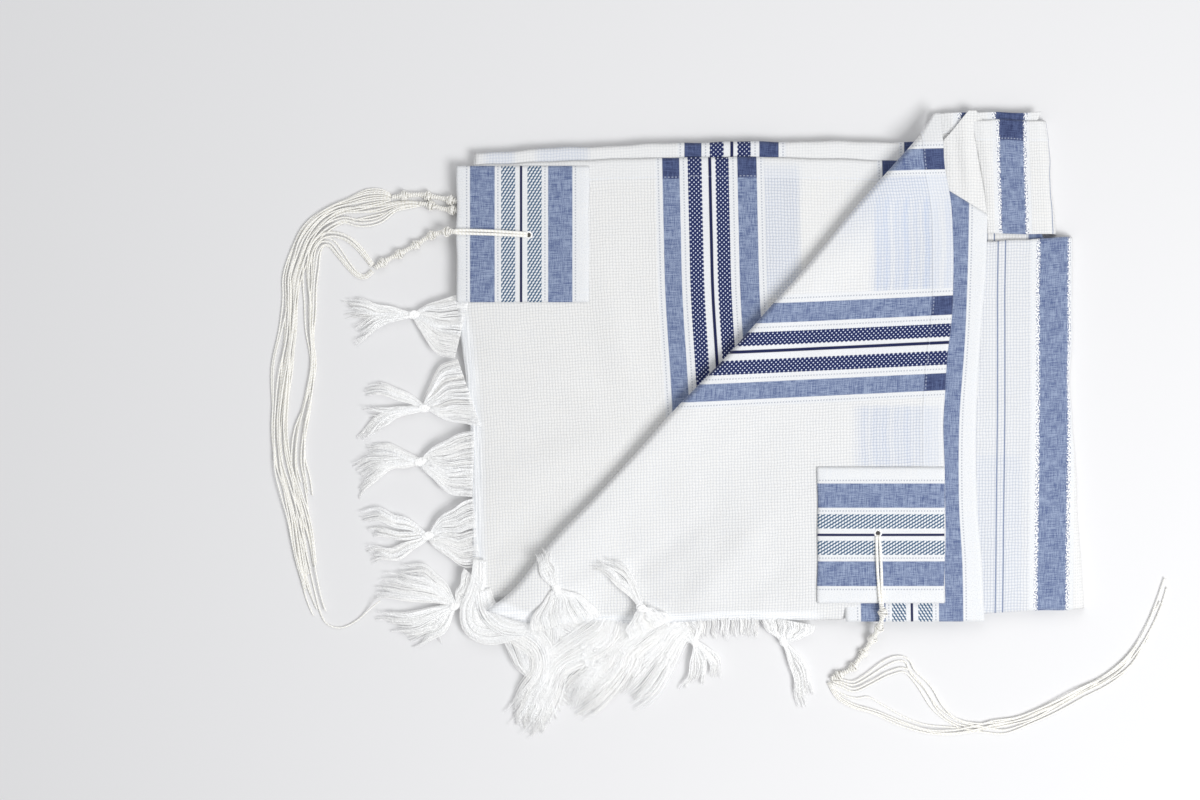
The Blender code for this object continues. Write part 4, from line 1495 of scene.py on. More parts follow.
def tied(name: str, knot: Knot, roots: tuple[tuple[float, ...], ...], tips: tuple[tuple[float, ...], ...],
         wave: float = 0.9) -> Tassel:
    """Lays out a tied tassel.

    Args:
        name: the CAD node that it stands for.
        knot: its knot.
        roots: x, y, z, half width and bow of each lock at the cloth.
        tips: x, y, z, half width, bow and, where it rises, lift of each lock of the tail.
        wave: swing of its threads.

    Returns:
        The tassel.
    """
    ins = tuple(Lock(x, y, z, half, knot.x, knot.y, knot.z, 1.6, bow, 0.0, wave,
                     int(50 + 5.5 * half), 0.22 * half)
                for x, y, z, half, bow in roots)
    outs = tuple(Lock(knot.x, knot.y, knot.z, 1.5, x, y, z, half, bow, rise[0] if rise else 0.8, wave,
                      int(34 + 5 * half))
                 for x, y, z, half, bow, *rise in tips)
    return Tassel(name + "_threads", ins + outs, knot, (name,))


@dataclass
class Fringe:
    """Every tassel of the two cut ends that show, and the loose locks between them."""

    tassels: tuple[Tassel, ...] = (
        tied("fringe_left_1", Knot(-216, 79.5, 4.4, 160),
             ((-180.5, 71, 9.2, 22.5, 2),),
             ((-270, 91, 1.8, 4.5, 1), (-272, 80, 1.6, 3, 0), (-264, 60, 1.8, 6.5, -6),
              (-252, 70, 1.6, 4, -3))),
        tied("fringe_left_2", Knot(-208.5, 11.5, 4.4, 170),
             ((-175.5, 23, 9.2, 24.5, -3),),
             ((-252, 26, 1.8, 5, -4), (-256, 10, 1.6, 4.5, 2), (-257, -14, 1.8, 4.5, -7),
              (-248, -3, 1.6, 5, -4))),
        tied("fringe_left_3", Knot(-211.5, -27.5, 4.4, 185),
             ((-172.5, -29, 9.2, 24, 2),),
             ((-254, -17, 1.8, 4, -3), (-262, -34, 1.8, 5, -4), (-259, -52, 1.6, 4, -8),
              (-250, -28, 1.6, 4, 2))),
        tied("fringe_left_4", Knot(-205.7, -81.4, 4.4, 180),
             ((-170.5, -78, 9.2, 24, 1),),
             ((-258, -66, 1.8, 5, -4), (-252, -79, 1.6, 4, 0), (-251, -95, 1.8, 6, 5)), 1.5),
        tied("fringe_left_5", Knot(-186, -132, 5.6, 200),
             ((-169.5, -113, 9.0, 13, 4),),
             ((-231, -106, 2.4, 6, -9), (-242, -112, 2.4, 5, -7), (-248, -123, 2.2, 6, -4),
              (-249, -141, 2.0, 6, 4), (-238, -151, 2.0, 6, 5), (-222, -158, 2.0, 6, 7),
              (-202, -158, 2.4, 6, -5)), 1.3),
        tied("fringe_end_1", Knot(-112, -118.5, 21.6, 105, 2.9),
             ((-106, -145, 17.8, 25, 0),),
             ((-124.5, -87.5, 20.6, 3.2, 3, 2.8), (-121, -90, 21.4, 2.6, 0, 2.4)), 1.2),
        tied("fringe_end_2", Knot(-50.7, -132.5, 18.0, 135, 2.9),
             ((-43, -148.5, 14.4, 16, 2),),
             ((-88, -99, 18.6, 4.0, -4, 0.6), (-81, -95, 18.6, 3.2, -6, 0.6)), 1.1),
        tied("fringe_end_3", Knot(-123, -192.5, 3.0, 265, 2.5),
             ((-131, -144, 7.4, 22, 0),),
             ((-139, -222, 1.8, 5, -4), (-129, -228, 1.8, 5, 0), (-117, -220, 1.8, 5, 3),
              (-106, -211, 1.8, 6, 6)), 1.2),
        Tassel("fringe_end_4_threads", (
            Lock(-60, -143, 6.4, 9, -80, -203, 2.2, 9, 10, 3.0, 1.4, 80),
            Lock(-46, -143, 6.4, 10, -33, -180, 2.2, 10, 6, 1.0, 1.2, 90)), None, ("fringe_end_4",), (
            Flow(((-114, -141, 6.2, 9), (-98, -149, 7.4, 11), (-84, -163, 7.4, 12), (-82, -180, 5.4, 13),
                  (-92, -196, 3.4, 14), (-98, -211, 2.0, 15)), 120, 1.6),
            Flow(((-72, -141, 6.4, 9), (-78, -152, 8.4, 12), (-95, -163, 9.2, 13), (-112, -176, 8.4, 12),
                  (-120, -196, 5.0, 12), (-134, -214, 2.4, 14), (-143, -224, 1.8, 15)), 130, 1.5, 34),
            Flow(((-30, -144, 6.2, 7), (-46, -151, 8.0, 9), (-62, -163, 8.6, 11), (-70, -180, 7.0, 12),
                  (-84, -194, 4.4, 13), (-104, -207, 2.2, 14)), 120, 1.4, 34),
            Flow(((-18, -146, 6.0, 6), (-28, -154, 7.2, 9), (-36, -170, 6.4, 11), (-48, -184, 4.2, 13),
                  (-66, -199, 2.0, 14)), 110, 1.4),
            Flow(((-150, -147, 7.0, 6), (-137, -152, 8.2, 9), (-124, -164, 8.6, 10), (-121, -182, 7.0, 11),
                  (-131, -200, 4.2, 11), (-139, -219, 2.0, 10)), 100, 1.3))),
        tied("fringe_end_5", Knot(-11.6, -158.4, 4.8, 260, 2.9),
             ((-20, -143, 6.6, 13, 2),),
             ((-19, -196, 1.8, 4, 3), (-9, -192, 1.8, 4, 4), (2, -190, 1.8, 5, 7))),
        Tassel("fringe_end_6_threads", (
            Lock(2, -141, 8.8, 11, 2, -160, 2.0, 11.5, 0, 0, 0.5, 55),
            Lock(23, -140.5, 8.8, 11, 23, -159, 2.0, 11.5, 0, 0, 0.5, 55)), None, ("fringe_end_6",)),
        tied("fringe_end_7", Knot(53, -158.5, 4.6, 285, 2.9),
             ((56, -142.5, 8.4, 20, 1),),
             ((66, -208, 1.8, 3.4, 3), (72.5, -203, 1.8, 3.0, 5)), 0.8),
        Tassel("fringe_rolled_threads", (), None, (), (
            Flow(((-168, -98, 11.6, 3.5), (-169, -112, 11.2, 5.0), (-172, -124, 9.6, 6.0),
                  (-175.5, -134, 8.0, 6.5), (-173, -146, 6.8, 7.5), (-162, -151, 6.6, 8.0),
                  (-149, -149, 7.4, 8.0), (-136, -144, 9.0, 7.0),
                  (-122, -141, 10.6, 5.0)), 120, 0.6, 40, 0.05),
            Flow(((-166, -120, 10.6, 5.0), (-163, -132, 10.2, 7.0), (-155, -142, 9.6, 7.5),
                  (-143, -147, 9.4, 7.0), (-128, -147, 9.6, 6.0)), 90, 0.5, 26, 0.05))),
    )

    def whorl(self) -> Tassel:
        """The curl on the pile: short locks end to end round a small circle."""
        turn = np.radians(np.arange(0, 420, 60))
        reach = np.linspace(3.0, 12.5, len(turn))
        x, y = -87 + reach * np.cos(turn), -165 + reach * 0.8 * np.sin(turn)
        z = np.linspace(10.8, 8.6, len(turn))
        locks = tuple(Lock(x[k], y[k], z[k], 1.2 + 0.35 * k, x[k + 1], y[k + 1], z[k + 1], 1.6 + 0.35 * k,
                           -0.13 * float(np.hypot(x[k + 1] - x[k], y[k + 1] - y[k])), 0.2, 0.15, 34)
                      for k in range(len(turn) - 1))
        return Tassel("fringe_whorl_threads", locks, None)

    def build(self, finishes: Finishes) -> list[bpy.types.Object]:
        """Builds every tassel.

        Args:
            finishes: every finish.

        Returns:
            The pieces.
        """
        pieces = [tassel.build(finishes.fringe) for tassel in (*self.tassels, self.whorl())]
        for piece in pieces:
            LOG.info("%s: %d faces", piece.name, len(piece.data.polygons))
        return pieces


# ---------------------------------------------------------------------------------------------
# Tzitzit
# ---------------------------------------------------------------------------------------------

def route_line(rows: tuple[Row, ...], steps: int) -> np.ndarray:
    """Reads a route at places evenly spaced along its length."""
    fine = smooth_keys(np.array(rows, dtype=float), np.linspace(0, 1, 600))
    walked = np.concatenate([[0], np.cumsum(np.linalg.norm(np.diff(fine[:, :3], axis=0), axis=1))])
    marks = np.linspace(0, walked[-1], steps)
    return np.column_stack([np.interp(marks, walked, fine[:, k]) for k in range(fine.shape[1])])


def line_length(line: np.ndarray) -> float:
    """Length of a line of points, in the points' own unit."""
    return float(np.linalg.norm(np.diff(line[:, :3], axis=0), axis=1).sum())


@dataclass
class StrandGroup:
    """Loose strands that run together: a route with how far they spread, and how many."""

    name: str
    routes: tuple[tuple[int, tuple[Row, ...]], ...]
    lock: tuple[str, ...]
    diameter: float = 1.15
    steps: int = 110
    cut: float = 0.10

    def strand_lines(self) -> list[np.ndarray]:
        """Works out each strand's line.

        A strand keeps its share of the spread, changes it slowly by a seeded wave so that
        strands cross, and lies at one of three heights, so that those that cross pass over.

        Returns:
            A (steps, 3) line for each strand.
        """
        rng = np.random.default_rng(sum(map(ord, self.name)))
        lines = []
        for count, rows in self.routes:
            line = route_line(rows, self.steps)
            centre = line[:, :3]
            heading = np.gradient(centre, axis=0)
            heading /= np.linalg.norm(heading, axis=1, keepdims=True)
            side = np.column_stack([-heading[:, 1], heading[:, 0], np.zeros(len(line))])
            side /= np.linalg.norm(side, axis=1, keepdims=True) + 1e-6
            places = np.linspace(0, 1, self.steps)
            shares = np.linspace(-1, 1, count) if count > 1 else np.zeros(1)
            for index, share in enumerate(shares):
                slow = (0.85 * np.sin(places * rng.uniform(5, 12) + rng.uniform(0, 6.3))
                        * ease(places, 0.03, 0.2))
                fine = (0.5 * np.sin(places * rng.uniform(22, 40) + rng.uniform(0, 6.3))
                        * ease(places, 0.05, 0.3))
                offset = line[:, 3] * (share + slow) + fine
                strand = centre + side * offset[:, None]
                stacked = (index % 3) * 0.85 * self.diameter * (0.75 + 0.25 * np.sin(places * 17 + index))
                strand[:, 2] = centre[:, 2] - 1.0 + self.diameter / 2 + stacked
                end = 1.0 - self.cut * rng.random()
                keep = max(12, int(self.steps * end))
                lines.append(strand[:keep])
        return lines

    def build(self, material: bpy.types.Material) -> list[bpy.types.Object]:
        """Args:
            material: the yarn's finish.

        Returns:
            The strands.
        """
        pieces = []
        for number, line in enumerate(self.strand_lines(), start=1):
            tubes = thread_tubes(line[None], np.full((1, len(line)), self.diameter / 2), 6)
            replaced = self.lock if number == 1 else ()
            piece = add_yarn(f"{self.name}_strand_{number}", tubes, material, replaced)
            pieces.append(piece)
        LOG.info("%s: %d strands", self.name, len(pieces))
        return pieces


@dataclass
class KnottedStem:
    """The wound part of a tzitzit: double knots with windings between them."""

    name: str
    rows: tuple[Row, ...]
    knots: int = 5
    core: float = 1.15
    thread: float = 0.52
    pitch: float = 1.7
    diameter: float = 4.4

    def coil(self, line: np.ndarray, reach: np.ndarray, turns: np.ndarray, thread: float) -> Tubes:
        """Winds a thread round the stem: a circle of the given reach, carried along the line.

        Args:
            line: the stem's centre line.
            reach: the circle's radius at each place.
            turns: how far round the thread has gone at each place.
            thread: the thread's radius.

        Returns:
            The tube's points, faces and places.
        """
        heading = np.gradient(line, axis=0)
        heading /= np.linalg.norm(heading, axis=1, keepdims=True)
        side = np.cross(heading, [0.02, 0.01, 1.0])
        side /= np.linalg.norm(side, axis=1, keepdims=True)
        rise = np.cross(side, heading)
        wound = (line + side * (reach * np.cos(2 * math.pi * turns))[:, None]
                 + rise * (reach * np.sin(2 * math.pi * turns))[:, None])
        wound[:, 2] = np.maximum(wound[:, 2], thread)
        return thread_tubes(wound[None], np.full((1, len(line)), thread), 5)

    def build(self, material: bpy.types.Material) -> bpy.types.Object:
        """Makes the stem: a core, a winding that swells at each knot, and a counter winding in each knot.

        The winding's reach is the core's radius plus a bell at each knot; the counter winding
        turns the other way and sinks into the core between knots.

        Args:
            material: the yarn's finish.

        Returns:
            The stem.
        """
        rows = tuple(row + (0.0,) for row in self.rows)
        rough = route_line(rows, 80)[:, :3]
        length = line_length(rough)
        count = int(length / self.pitch * 11)
        line = route_line(rows, count)[:, :3]
        places = np.linspace(0, 1, count)
        swell = np.zeros(count)
        for centre in (np.arange(self.knots) + 0.5) / self.knots:
            swell += np.exp(-((places - centre) * length / 2.9) ** 2)
        walked = places * length
        core = thread_tubes(rough[None], np.full((1, len(rough)), self.core), 8)
        first = self.coil(line, self.core + 0.25 + 1.75 * swell, walked / self.pitch, self.thread)
        second = self.coil(line, self.core - 0.5 + 2.9 * swell, -walked / (self.pitch * 1.7),
                           self.thread * 1.15)
        third = self.coil(line, self.core - 0.6 + 2.6 * swell, 0.4 + walked / (self.pitch * 2.6),
                          self.thread * 1.2)
        tubes = join_blocks([core, first, second, third])
        piece = add_yarn(self.name + "_wound", tubes, material, (self.name,))
        return piece


LOOP_DIAMETER = 2.1


@dataclass
class Tzitzit:
    """The four tied corners: loops through the eyelets, wound stems and loose strands."""

    stems: tuple[KnottedStem, ...] = (
        KnottedStem("tzitzit_front_stem", (
            (-185.5, 139.2, 13.2), (-190.5, 139.6, 11.0), (-197, 139, 6.6), (-205, 136.5, 3.4),
            (-215, 130.3, 3.0), (-228, 123.2, 3.0), (-237, 118.8, 3.0), (-244.5, 113.5, 3.0)), knots=5),
        KnottedStem("tzitzit_flap_stem", (
            (122.4, -130, 17.2), (123.5, -136, 16.6), (122.8, -142, 15.6), (121, -148, 12.4),
            (118.5, -154, 7.2), (115, -161, 3.4), (108.8, -170.4, 3.0), (102.2, -178.5, 3.0),
            (93.5, -183, 3.0), (87.5, -185.5, 3.0)), knots=6),
        KnottedStem("tzitzit_back_stem", (
            (-181, 161.4, 6.0), (-187, 162.4, 5.6), (-196.5, 164.4, 3.6), (-205, 166, 3.0),
            (-213.3, 167, 3.0), (-223, 166.4, 3.0), (-232, 165, 3.0)), knots=3),
        KnottedStem("tzitzit_inner_stem", (
            (-180, 154.4, 6.0), (-187, 155.4, 5.4), (-195, 156.6, 3.6), (-203, 159, 3.0),
            (-212, 160.6, 3.0)), knots=2),
    )
    groups: tuple[StrandGroup, ...] = (
        StrandGroup("tzitzit_back", ((8, (
            (-233, 165, 1.5, 2.0), (-240, 166, 1.6, 5.0), (-250, 165, 1.6, 6.0), (-262, 161.5, 1.6, 4.5),
            (-275, 157, 1.6, 3.2), (-288, 148.5, 1.6, 3.6), (-298, 137, 1.6, 3.2), (-304, 123, 1.6, 2.8),
            (-308, 107, 1.6, 2.4), (-308, 91, 1.6, 2.2), (-310, 68, 1.6, 2.8), (-313.5, 43, 1.6, 3.4),
            (-315.5, 17, 1.6, 2.6), (-316.5, -4, 1.6, 2.4), (-314, -29, 1.6, 3.0), (-309, -50, 1.6, 3.4),
            (-304.5, -68, 1.6, 4.0), (-301.5, -86, 1.6, 4.4), (-299, -102, 1.6, 4.0),
            (-295, -118, 1.6, 3.4), (-291, -131, 1.6, 3.4),
            (-286.5, -142, 1.6, 2.6))),), ("tzitzit_back_lock",)),
        StrandGroup("tzitzit_inner", ((7, (
            (-212, 160.4, 1.5, 1.4), (-222, 160.6, 1.6, 2.0), (-232, 158, 1.6, 3.6),
            (-243, 153.6, 1.6, 6.0), (-255, 152.2, 1.6, 5.6), (-268, 152.6, 1.6, 3.6),
            (-281, 146.5, 1.6, 3.6), (-291, 136, 1.6, 3.2), (-297, 123, 1.6, 3.0), (-301.5, 107, 1.6, 2.4),
            (-303, 91, 1.6, 2.2), (-304.5, 68, 1.6, 2.6), (-307.5, 43, 1.6, 3.2), (-310.5, 17, 1.6, 2.4),
            (-311.5, -4, 1.6, 2.4), (-309, -28, 1.6, 3.0), (-304, -48, 1.6, 3.4), (-300, -67, 1.6, 4.0),
            (-297, -85, 1.6, 4.4), (-294.5, -101, 1.6, 4.0), (-290.5, -117, 1.6, 3.4),
            (-286.5, -131, 1.6, 3.0), (-282, -141, 1.6, 2.4))),
            (1, ((-212, 159, 1.5, 0.5), (-232, 155, 1.6, 0.5), (-255, 150, 1.6, 0.5), (-281, 143, 1.6, 0.5),
                 (-297, 119, 1.6, 0.5), (-301, 91, 1.6, 0.5), (-303, 60, 1.6, 0.5), (-308, 17, 1.6, 0.5),
                 (-309, -20, 1.6, 0.5), (-300, -56, 1.6, 0.5), (-296, -90, 1.6, 0.5),
                 (-289, -120, 1.6, 0.5), (-284, -140, 1.6, 0.4), (-278, -147.5, 1.6, 0.2),
                 (-268, -149, 1.6, 0.1), (-257, -143, 1.6, 0.1), (-249, -135, 3.0, 0.1),
                 (-242, -129, 6.6, 0.1), (-234, -124.5, 8.0, 0.1))),),
            ("tzitzit_inner_lock",)),
        StrandGroup("tzitzit_front", ((4, (
            (-246.5, 115.4, 1.5, 1.4), (-256, 127.8, 1.6, 1.8), (-265, 135.4, 1.6, 1.8),
            (-275.5, 138.4, 1.6, 1.6), (-284, 136.4, 1.6, 1.6), (-291, 128.6, 1.6, 1.8),
            (-294, 116, 1.6, 2.0), (-293.5, 102, 1.6, 2.0), (-292, 88, 1.6, 2.0), (-292, 68, 1.6, 1.8),
            (-290, 43, 1.6, 1.6), (-294.5, 17, 1.6, 1.8), (-300.5, -4, 1.6, 2.2), (-303, -27, 1.6, 2.6),
            (-301, -46, 1.6, 3.0), (-297, -65, 1.6, 3.4), (-293.5, -84, 1.6, 3.4), (-291, -100, 1.6, 3.2),
            (-288, -114, 1.6, 3.0))),),
            ("tzitzit_front_lock_1",)),
        StrandGroup("tzitzit_front_low", ((4, (
            (-246.5, 111.6, 1.5, 1.2), (-252, 107.4, 1.6, 1.4), (-258, 109, 1.6, 1.6),
            (-264.5, 116, 1.6, 1.8), (-271, 124.6, 1.6, 1.8), (-277.5, 132, 1.6, 1.6),
            (-284, 132, 1.6, 1.6), (-288, 124.5, 1.6, 1.6), (-289, 112, 1.6, 1.8), (-289.5, 100, 1.6, 1.8),
            (-290, 84, 1.6, 1.8), (-289.5, 62, 1.6, 1.6), (-288.5, 43, 1.6, 1.4), (-292, 17, 1.6, 1.8),
            (-297.5, -4, 1.6, 2.0), (-299.5, -26, 1.6, 2.4), (-296.5, -44, 1.6, 2.6),
            (-292.5, -62, 1.6, 2.8))),),
            ("tzitzit_front_lock_2",)),
        StrandGroup("tzitzit_flap", (
            (2, ((88, -186.4, 1.5, 0.8), (94.5, -187, 1.6, 1.0), (104, -189, 1.6, 1.2),
                 (113, -184.4, 1.6, 1.2), (126, -175, 1.6, 1.4), (136, -171, 1.6, 1.2),
                 (143.5, -173, 1.6, 1.0), (147, -181, 1.6, 1.2), (158, -193.6, 1.6, 1.6),
                 (167, -208, 1.6, 1.8), (180, -217.6, 1.6, 1.6), (200, -220.5, 1.6, 1.6),
                 (223, -216.6, 1.6, 1.4), (240, -209, 1.6, 1.4), (256, -201, 1.6, 1.6),
                 (272, -192, 1.6, 1.6), (289, -183, 1.6, 1.6), (303, -171, 1.6, 2.0), (314, -155, 1.6, 2.2),
                 (326, -130, 1.6, 2.0), (334.6, -107, 1.6, 1.0))),
            (2, ((88, -188, 1.5, 0.8), (95, -190.6, 1.6, 1.0), (105, -194, 1.6, 1.2),
                 (117, -188.4, 1.6, 1.2), (130, -181, 1.6, 1.4), (142, -179, 1.6, 1.2),
                 (151.5, -189, 1.6, 1.2), (164, -207, 1.6, 1.6), (182, -219.6, 1.6, 1.6),
                 (202.7, -225, 1.6, 1.6), (217, -225.6, 1.6, 1.6), (236, -217, 1.6, 1.6),
                 (253, -208, 1.6, 1.6), (270, -198, 1.6, 1.8), (288, -188, 1.6, 2.0), (303, -175, 1.6, 2.0),
                 (315, -157, 1.6, 2.0), (323, -143, 1.6, 1.6), (331, -128, 1.6, 1.0)))),
            ("tzitzit_flap_lock_1",), cut=0.05),
        StrandGroup("tzitzit_flap_low", (
            (3, ((86, -188.4, 1.5, 0.8), (92.7, -199, 1.6, 1.2), (104.4, -206, 1.6, 1.4),
                 (120.4, -210.6, 1.6, 1.4), (139.4, -217.6, 1.6, 1.6), (158.3, -222.6, 1.6, 1.8),
                 (176.5, -223.4, 1.6, 1.8), (195.5, -221, 1.6, 1.6), (206.4, -218.6, 1.6, 1.6),
                 (223, -216.3, 1.6, 1.6), (237.7, -211, 1.6, 1.6), (253, -204, 1.6, 1.6),
                 (270, -195.6, 1.6, 1.8), (288, -186, 1.6, 1.8), (302.5, -174, 1.6, 2.0),
                 (313, -159, 1.6, 2.0), (322, -150, 1.6, 1.4))),
            (1, ((88, -190.6, 1.5, 0.5), (96, -197, 1.6, 0.8), (106, -200, 1.6, 0.8),
                 (115.3, -199.4, 1.6, 0.8), (126, -206, 1.6, 0.8), (139, -213.4, 1.6, 0.8),
                 (158, -220, 1.6, 1.2), (176.5, -221.6, 1.6, 1.2), (206, -221, 1.6, 1.2),
                 (237, -213, 1.6, 1.2), (270, -197, 1.6, 1.2), (290, -184, 1.6, 1.0)))),
            ("tzitzit_flap_lock_2",), cut=0.06),
    )
    loops: tuple[tuple[str, tuple[Row, ...]], ...] = (
        ("tzitzit_front_loop_1", ((-133.8, 137.6, 11.6), (-137, 138.4, 12.9), (-158, 139.8, 13.2),
                                  (-178, 140.4, 13.2), (-186, 140.2, 13.0))),
        ("tzitzit_front_loop_2", ((-133.8, 136.4, 11.6), (-137, 136.4, 12.9), (-158, 137.4, 13.2),
                                  (-178, 138.0, 13.2), (-186, 138.4, 13.0))),
        ("tzitzit_flap_loop_1", ((119.4, -80.4, 14.8), (119.0, -84, 16.2), (119.6, -104, 16.6),
                                 (121, -124, 16.6), (122, -131, 16.8))),
        ("tzitzit_flap_loop_2", ((120.8, -80.4, 14.8), (121.4, -84, 16.2), (122.4, -104, 16.6),
                                 (123.0, -124, 16.6), (123.4, -131, 16.8))),
    )

    def build(self, finishes: Finishes) -> list[bpy.types.Object]:
        """Builds loops, stems and strands.

        Args:
            finishes: every finish.

        Returns:
            The pieces.
        """
        pieces = [stem.build(finishes.tzitzit) for stem in self.stems]
        for name, rows in self.loops:
            line = route_line(tuple(row + (0.0,) for row in rows), 60)[:, :3]
            tubes = thread_tubes(line[None], np.full((1, len(line)), LOOP_DIAMETER / 2), 8)
            piece = add_yarn(name, tubes, finishes.tzitzit)
            pieces.append(piece)
        for group in self.groups:
            pieces.extend(group.build(finishes.tzitzit))
        return pieces


# ---------------------------------------------------------------------------------------------
# Assembly
# ---------------------------------------------------------------------------------------------

@dataclass
class FoldedShawl:
    """The main cloth's stretches, the neckband and the patches."""

    core: FoldedCore = field(default_factory=FoldedCore)
    flap: TurnedFlap = field(default_factory=TurnedFlap)
    panels: tuple[LaidPanel, ...] = (
        LaidPanel(
            "back_panel",
            ((-172, 197, 149, 205), (-172, 120, 150, 120), (-170, 0, 152, 0), (-166, -122, 154, -122)),
            BACK_LEVEL, (-169.5, -169.5, -169.5, -169.5), rise=3.5, edge_wave=0.9,
            ghosts=((-164, -143, 180, 210, 0.42), (-126, -90, 180, 210, 0.42)),
            creases=(Crease(-100, 202, 60, 199, 5, 0.6),)),
        LaidPanel(
            "front_panel",
            ((-185, 187, 160, 190), (-184.5, 140, 162, 140), (-184.5, 90, 164, 90), (-178, 30, 165, 30),
             (-174.5, -12, 165, -12), (-173.5, -70, 165, -70), (-173, -127, 165, -127)),
            FRONT_LEVEL, (-185.7, -184.6, -183.2, -179.4, -177.4, -176.0, -175.0),
            rise=5.0, drop_left=1.4, row_count=100, column_count=120, fray=9.5,
            ghosts=((37, 64, 92, 188, 0.34),),
            creases=(Crease(-176, 52, -88, 30, 9, 1.6), Crease(-176, 38, -110, 18, 8, -1.0),
                     Crease(-150, -40, -60, -6, 14, 1.5), Crease(-165, -100, -112, -56, 9, -1.2),
                     Crease(-80, 120, -58, 20, 13, 1.2), Crease(-30, 176, -10, 60, 15, 1.0),
                     Crease(60, 180, 70, 120, 8, 0.6))),
        NeckBand(
            "neckband",
            ((168, 172, 200, 152), (126, 128, 199, 112), (98, 70, 195, 61), (95, 3, 192, 3),
             (95, -55, 192.5, -55), (97, -100, 196, -100), (97, -143, 198, -143)),
            BAND_LEVEL, (149.5, 148.6, 146.5, 142.4, 142.2, 144.6, 145.4), hem=False,
            row_count=100, column_count=40),
        LaidPanel(
            "tucked_fold",
            ((186.5, 227.4, 192, 227.6), (174.5, 213, 199, 216), (164, 200, 201, 200), (161, 184, 203, 180),
             (161, 160, 205, 146)),
            TUCK_LEVEL, (100, 100, 100, 100, 100), hem=False, row_count=70, column_count=46,
            creases=(Crease(182, 222, 187, 165, 4.0, 0.8), Crease(176, 208, 181, 172, 4.0, -0.6),
                     Crease(190, 224, 196, 168, 3.6, -1.1), Crease(207, 270, 207, 100, 9.0, -2.0))),
        LaidPanel(
            "right_upper_rear",
            ((162.5, 225.8, 239.5, 227), (160.5, 216, 236.5, 217), (160, 196, 236, 196)),
            BACK_LEVEL, (-208.5, -208.5, -208.5), row_count=40, column_count=78, edge_wave=0.7,
            drop_left=3.0, pleat_at=192.0, pleat=25.0, creases=(Crease(168, 224, 174, 206, 4.0, -0.9),)),
        WrappedFold(
            "right_upper_front",
            ((188.5, 221, 244, 220.5), (194.5, 190, 247, 190), (198.5, 165, 249.5, 165),
             (200, 138.5, 252, 137.5)),
            FRONT_LEVEL, (-142.8, -142.3, -141.5, -140.6), row_count=60, column_count=44, weave_scale=1.18,
            drop_left=0.5,
            creases=(Crease(214, 216, 216, 146, 7, 0.5), Crease(200, 150, 240, 143, 6, -1.2),
                     Crease(196, 221, 204, 152, 4.0, 1.1))),
        WrappedFold(
            "right_lower_fold",
            ((188, 132, 264, 136), (187, 90, 263, 90), (186, 18, 262.5, 18), (186, -27, 265.5, -27),
             (187, -75, 268, -72), (188, -138, 272, -133.5)),
            FRONT_LEVEL, (-176.4, -177.0, -177.0, -177.4, -178.0, -178.6), hem=False,
            row_count=90, column_count=44, ghosts=((180, 236, -160, 150, 0.2), (180, 226, -160, -20, 0.3)),
            creases=(Crease(196, 125, 200, 40, 6, 0.5), Crease(203, -60, 206, -130, 7, 0.6),
                     Crease(228, 60, 234, -100, 9, 0.4))),
    )
    patches: tuple[CornerPatch, ...] = (
        CornerPatch("patch_front", -184.6, 88.4, 96.0, 98.8, FRONT_LEVEL, -137.9, -132.4, 137.0),
        CornerPatch("patch_flap", 76.5, -129.4, 92.0, 98.4, FLAP_LEVEL, -80.0, 120.1, -78.7, turned=True),
    )

    def build(self, finishes: Finishes) -> list[bpy.types.Object]:
        """Builds the cloth from the pile up.

        Args:
            finishes: every finish.

        Returns:
            The pieces of cloth.
        """
        pieces = [self.core.build(finishes.gauze)]
        for panel in self.panels:
            finish = finishes.strip if isinstance(panel, NeckBand) else finishes.gauze
            pieces.append(panel.build(finish))
        pieces.append(self.flap.build(finishes.gauze))
        for patch in self.patches:
            pieces.extend(patch.build(finishes))
        return pieces


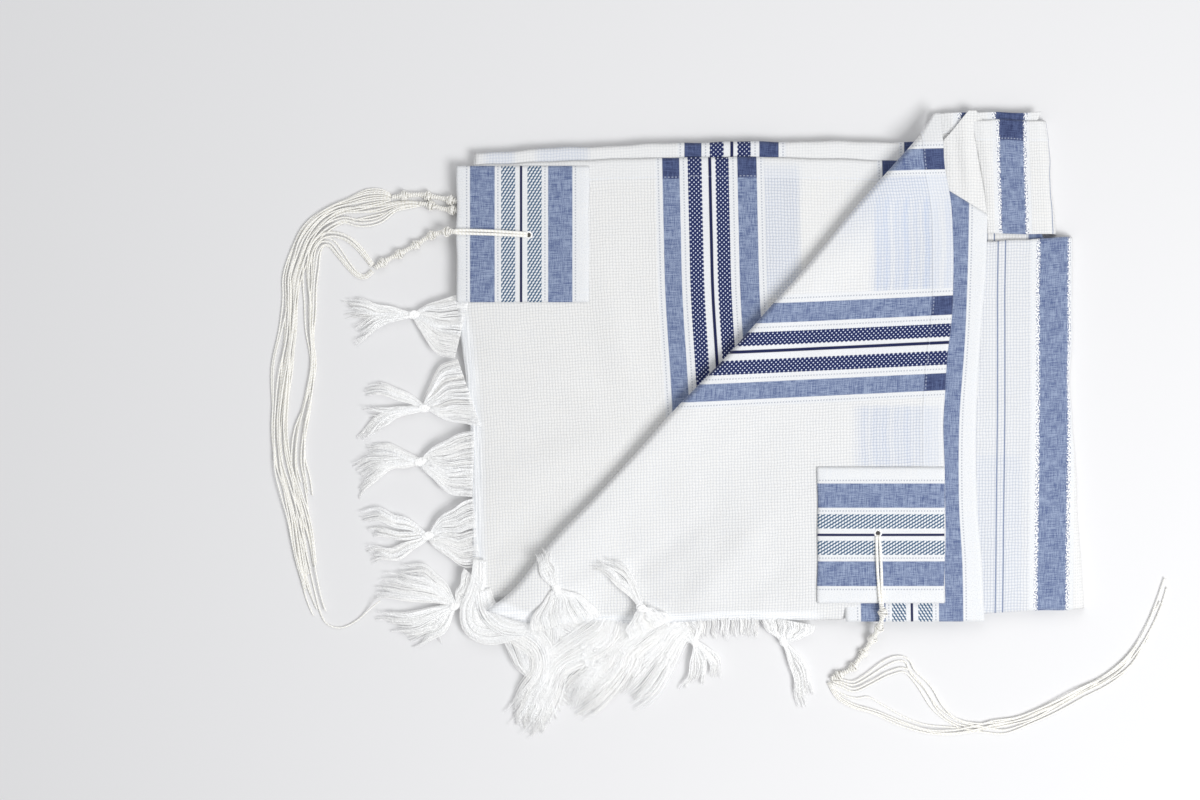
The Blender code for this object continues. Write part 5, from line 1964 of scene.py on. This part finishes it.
@dataclass
class Studio:
    """The pale surface, the soft lights and the camera that looks straight down."""

    centre_x: float = -80.7
    centre_y: float = 17.5
    height: float = 1500.0
    view_width: float = 876.0
    floor_half: float = 6000.0

    def build(self) -> None:
        """Adds floor, lights, world and camera."""
        self.floor()
        self.light("key", (0.84, -0.62, 1.45), 0.85, 23.0)
        self.light("fill", (-0.1, 1.1, 1.5), 1.4, 7.2)
        world = bpy.data.worlds.new("studio_air")
        world.use_nodes = True
        air = world.node_tree.nodes["Background"]
        air.inputs["Color"].default_value = (0.985, 0.99, 1.0, 1.0)
        air.inputs["Strength"].default_value = 0.44
        bpy.context.scene.world = world
        bpy.context.scene.view_settings.view_transform = "Standard"
        self.camera()

    def floor(self) -> None:
        """Adds the plain pale surface, its top at the underside of the shawl."""
        half = self.floor_half
        points = np.array([[-half, -half, 0], [half, -half, 0], [half, half, 0], [-half, half, 0]],
                          dtype=float)
        mesh = mesh_from_arrays("studio_floor", points, [np.array([[0, 1, 2, 3]])])
        floor = bpy.data.objects.new("studio_floor", mesh)
        bpy.context.scene.collection.objects.link(floor)
        material = bpy.data.materials.new("studio_floor")
        material.use_nodes = True
        shader = material.node_tree.nodes["Principled BSDF"]
        shader.inputs["Base Color"].default_value = (0.775, 0.775, 0.785, 1.0)
        shader.inputs["Roughness"].default_value = 0.95
        shader.inputs["Specular IOR Level"].default_value = 0.1
        mesh.materials.append(material)

    def light(self, name: str, place: tuple[float, float, float], size: float, power: float) -> None:
        """Adds a square soft light that faces the shawl.

        Args:
            name: the light's name.
            place: where it stands, in metres.
            size: the length of its side, in metres.
            power: in watts.
        """
        data = bpy.data.lights.new(name, "AREA")
        data.size = size
        data.energy = power
        lamp = bpy.data.objects.new(name, data)
        bpy.context.scene.collection.objects.link(lamp)
        lamp.location = place
        aim = np.array([self.centre_x * MM, self.centre_y * MM, 0.0]) - np.array(place)
        pitch = math.acos(-aim[2] / np.linalg.norm(aim))
        lamp.rotation_euler = (pitch, 0.0, math.atan2(aim[1], aim[0]) - math.pi / 2)

    def camera(self) -> None:
        """Adds the camera, level above the middle of the view."""
        data = bpy.data.cameras.new("camera")
        data.sensor_width = 36.0
        data.lens = data.sensor_width * self.height / self.view_width
        eye = bpy.data.objects.new("camera", data)
        bpy.context.scene.collection.objects.link(eye)
        eye.location = (self.centre_x * MM, self.centre_y * MM, self.height * MM)
        bpy.context.scene.camera = eye


def main() -> None:
    """Builds the shawl, its fringe and its tzitzit, then the studio."""
    logging.basicConfig(level=logging.INFO, format="%(name)s: %(message)s")
    Studio().build()
    finishes = Finishes()
    Tzitzit().build(finishes)
    cloth = FoldedShawl().build(finishes)
    Fringe().build(finishes)


if __name__ == "__main__":
    main()
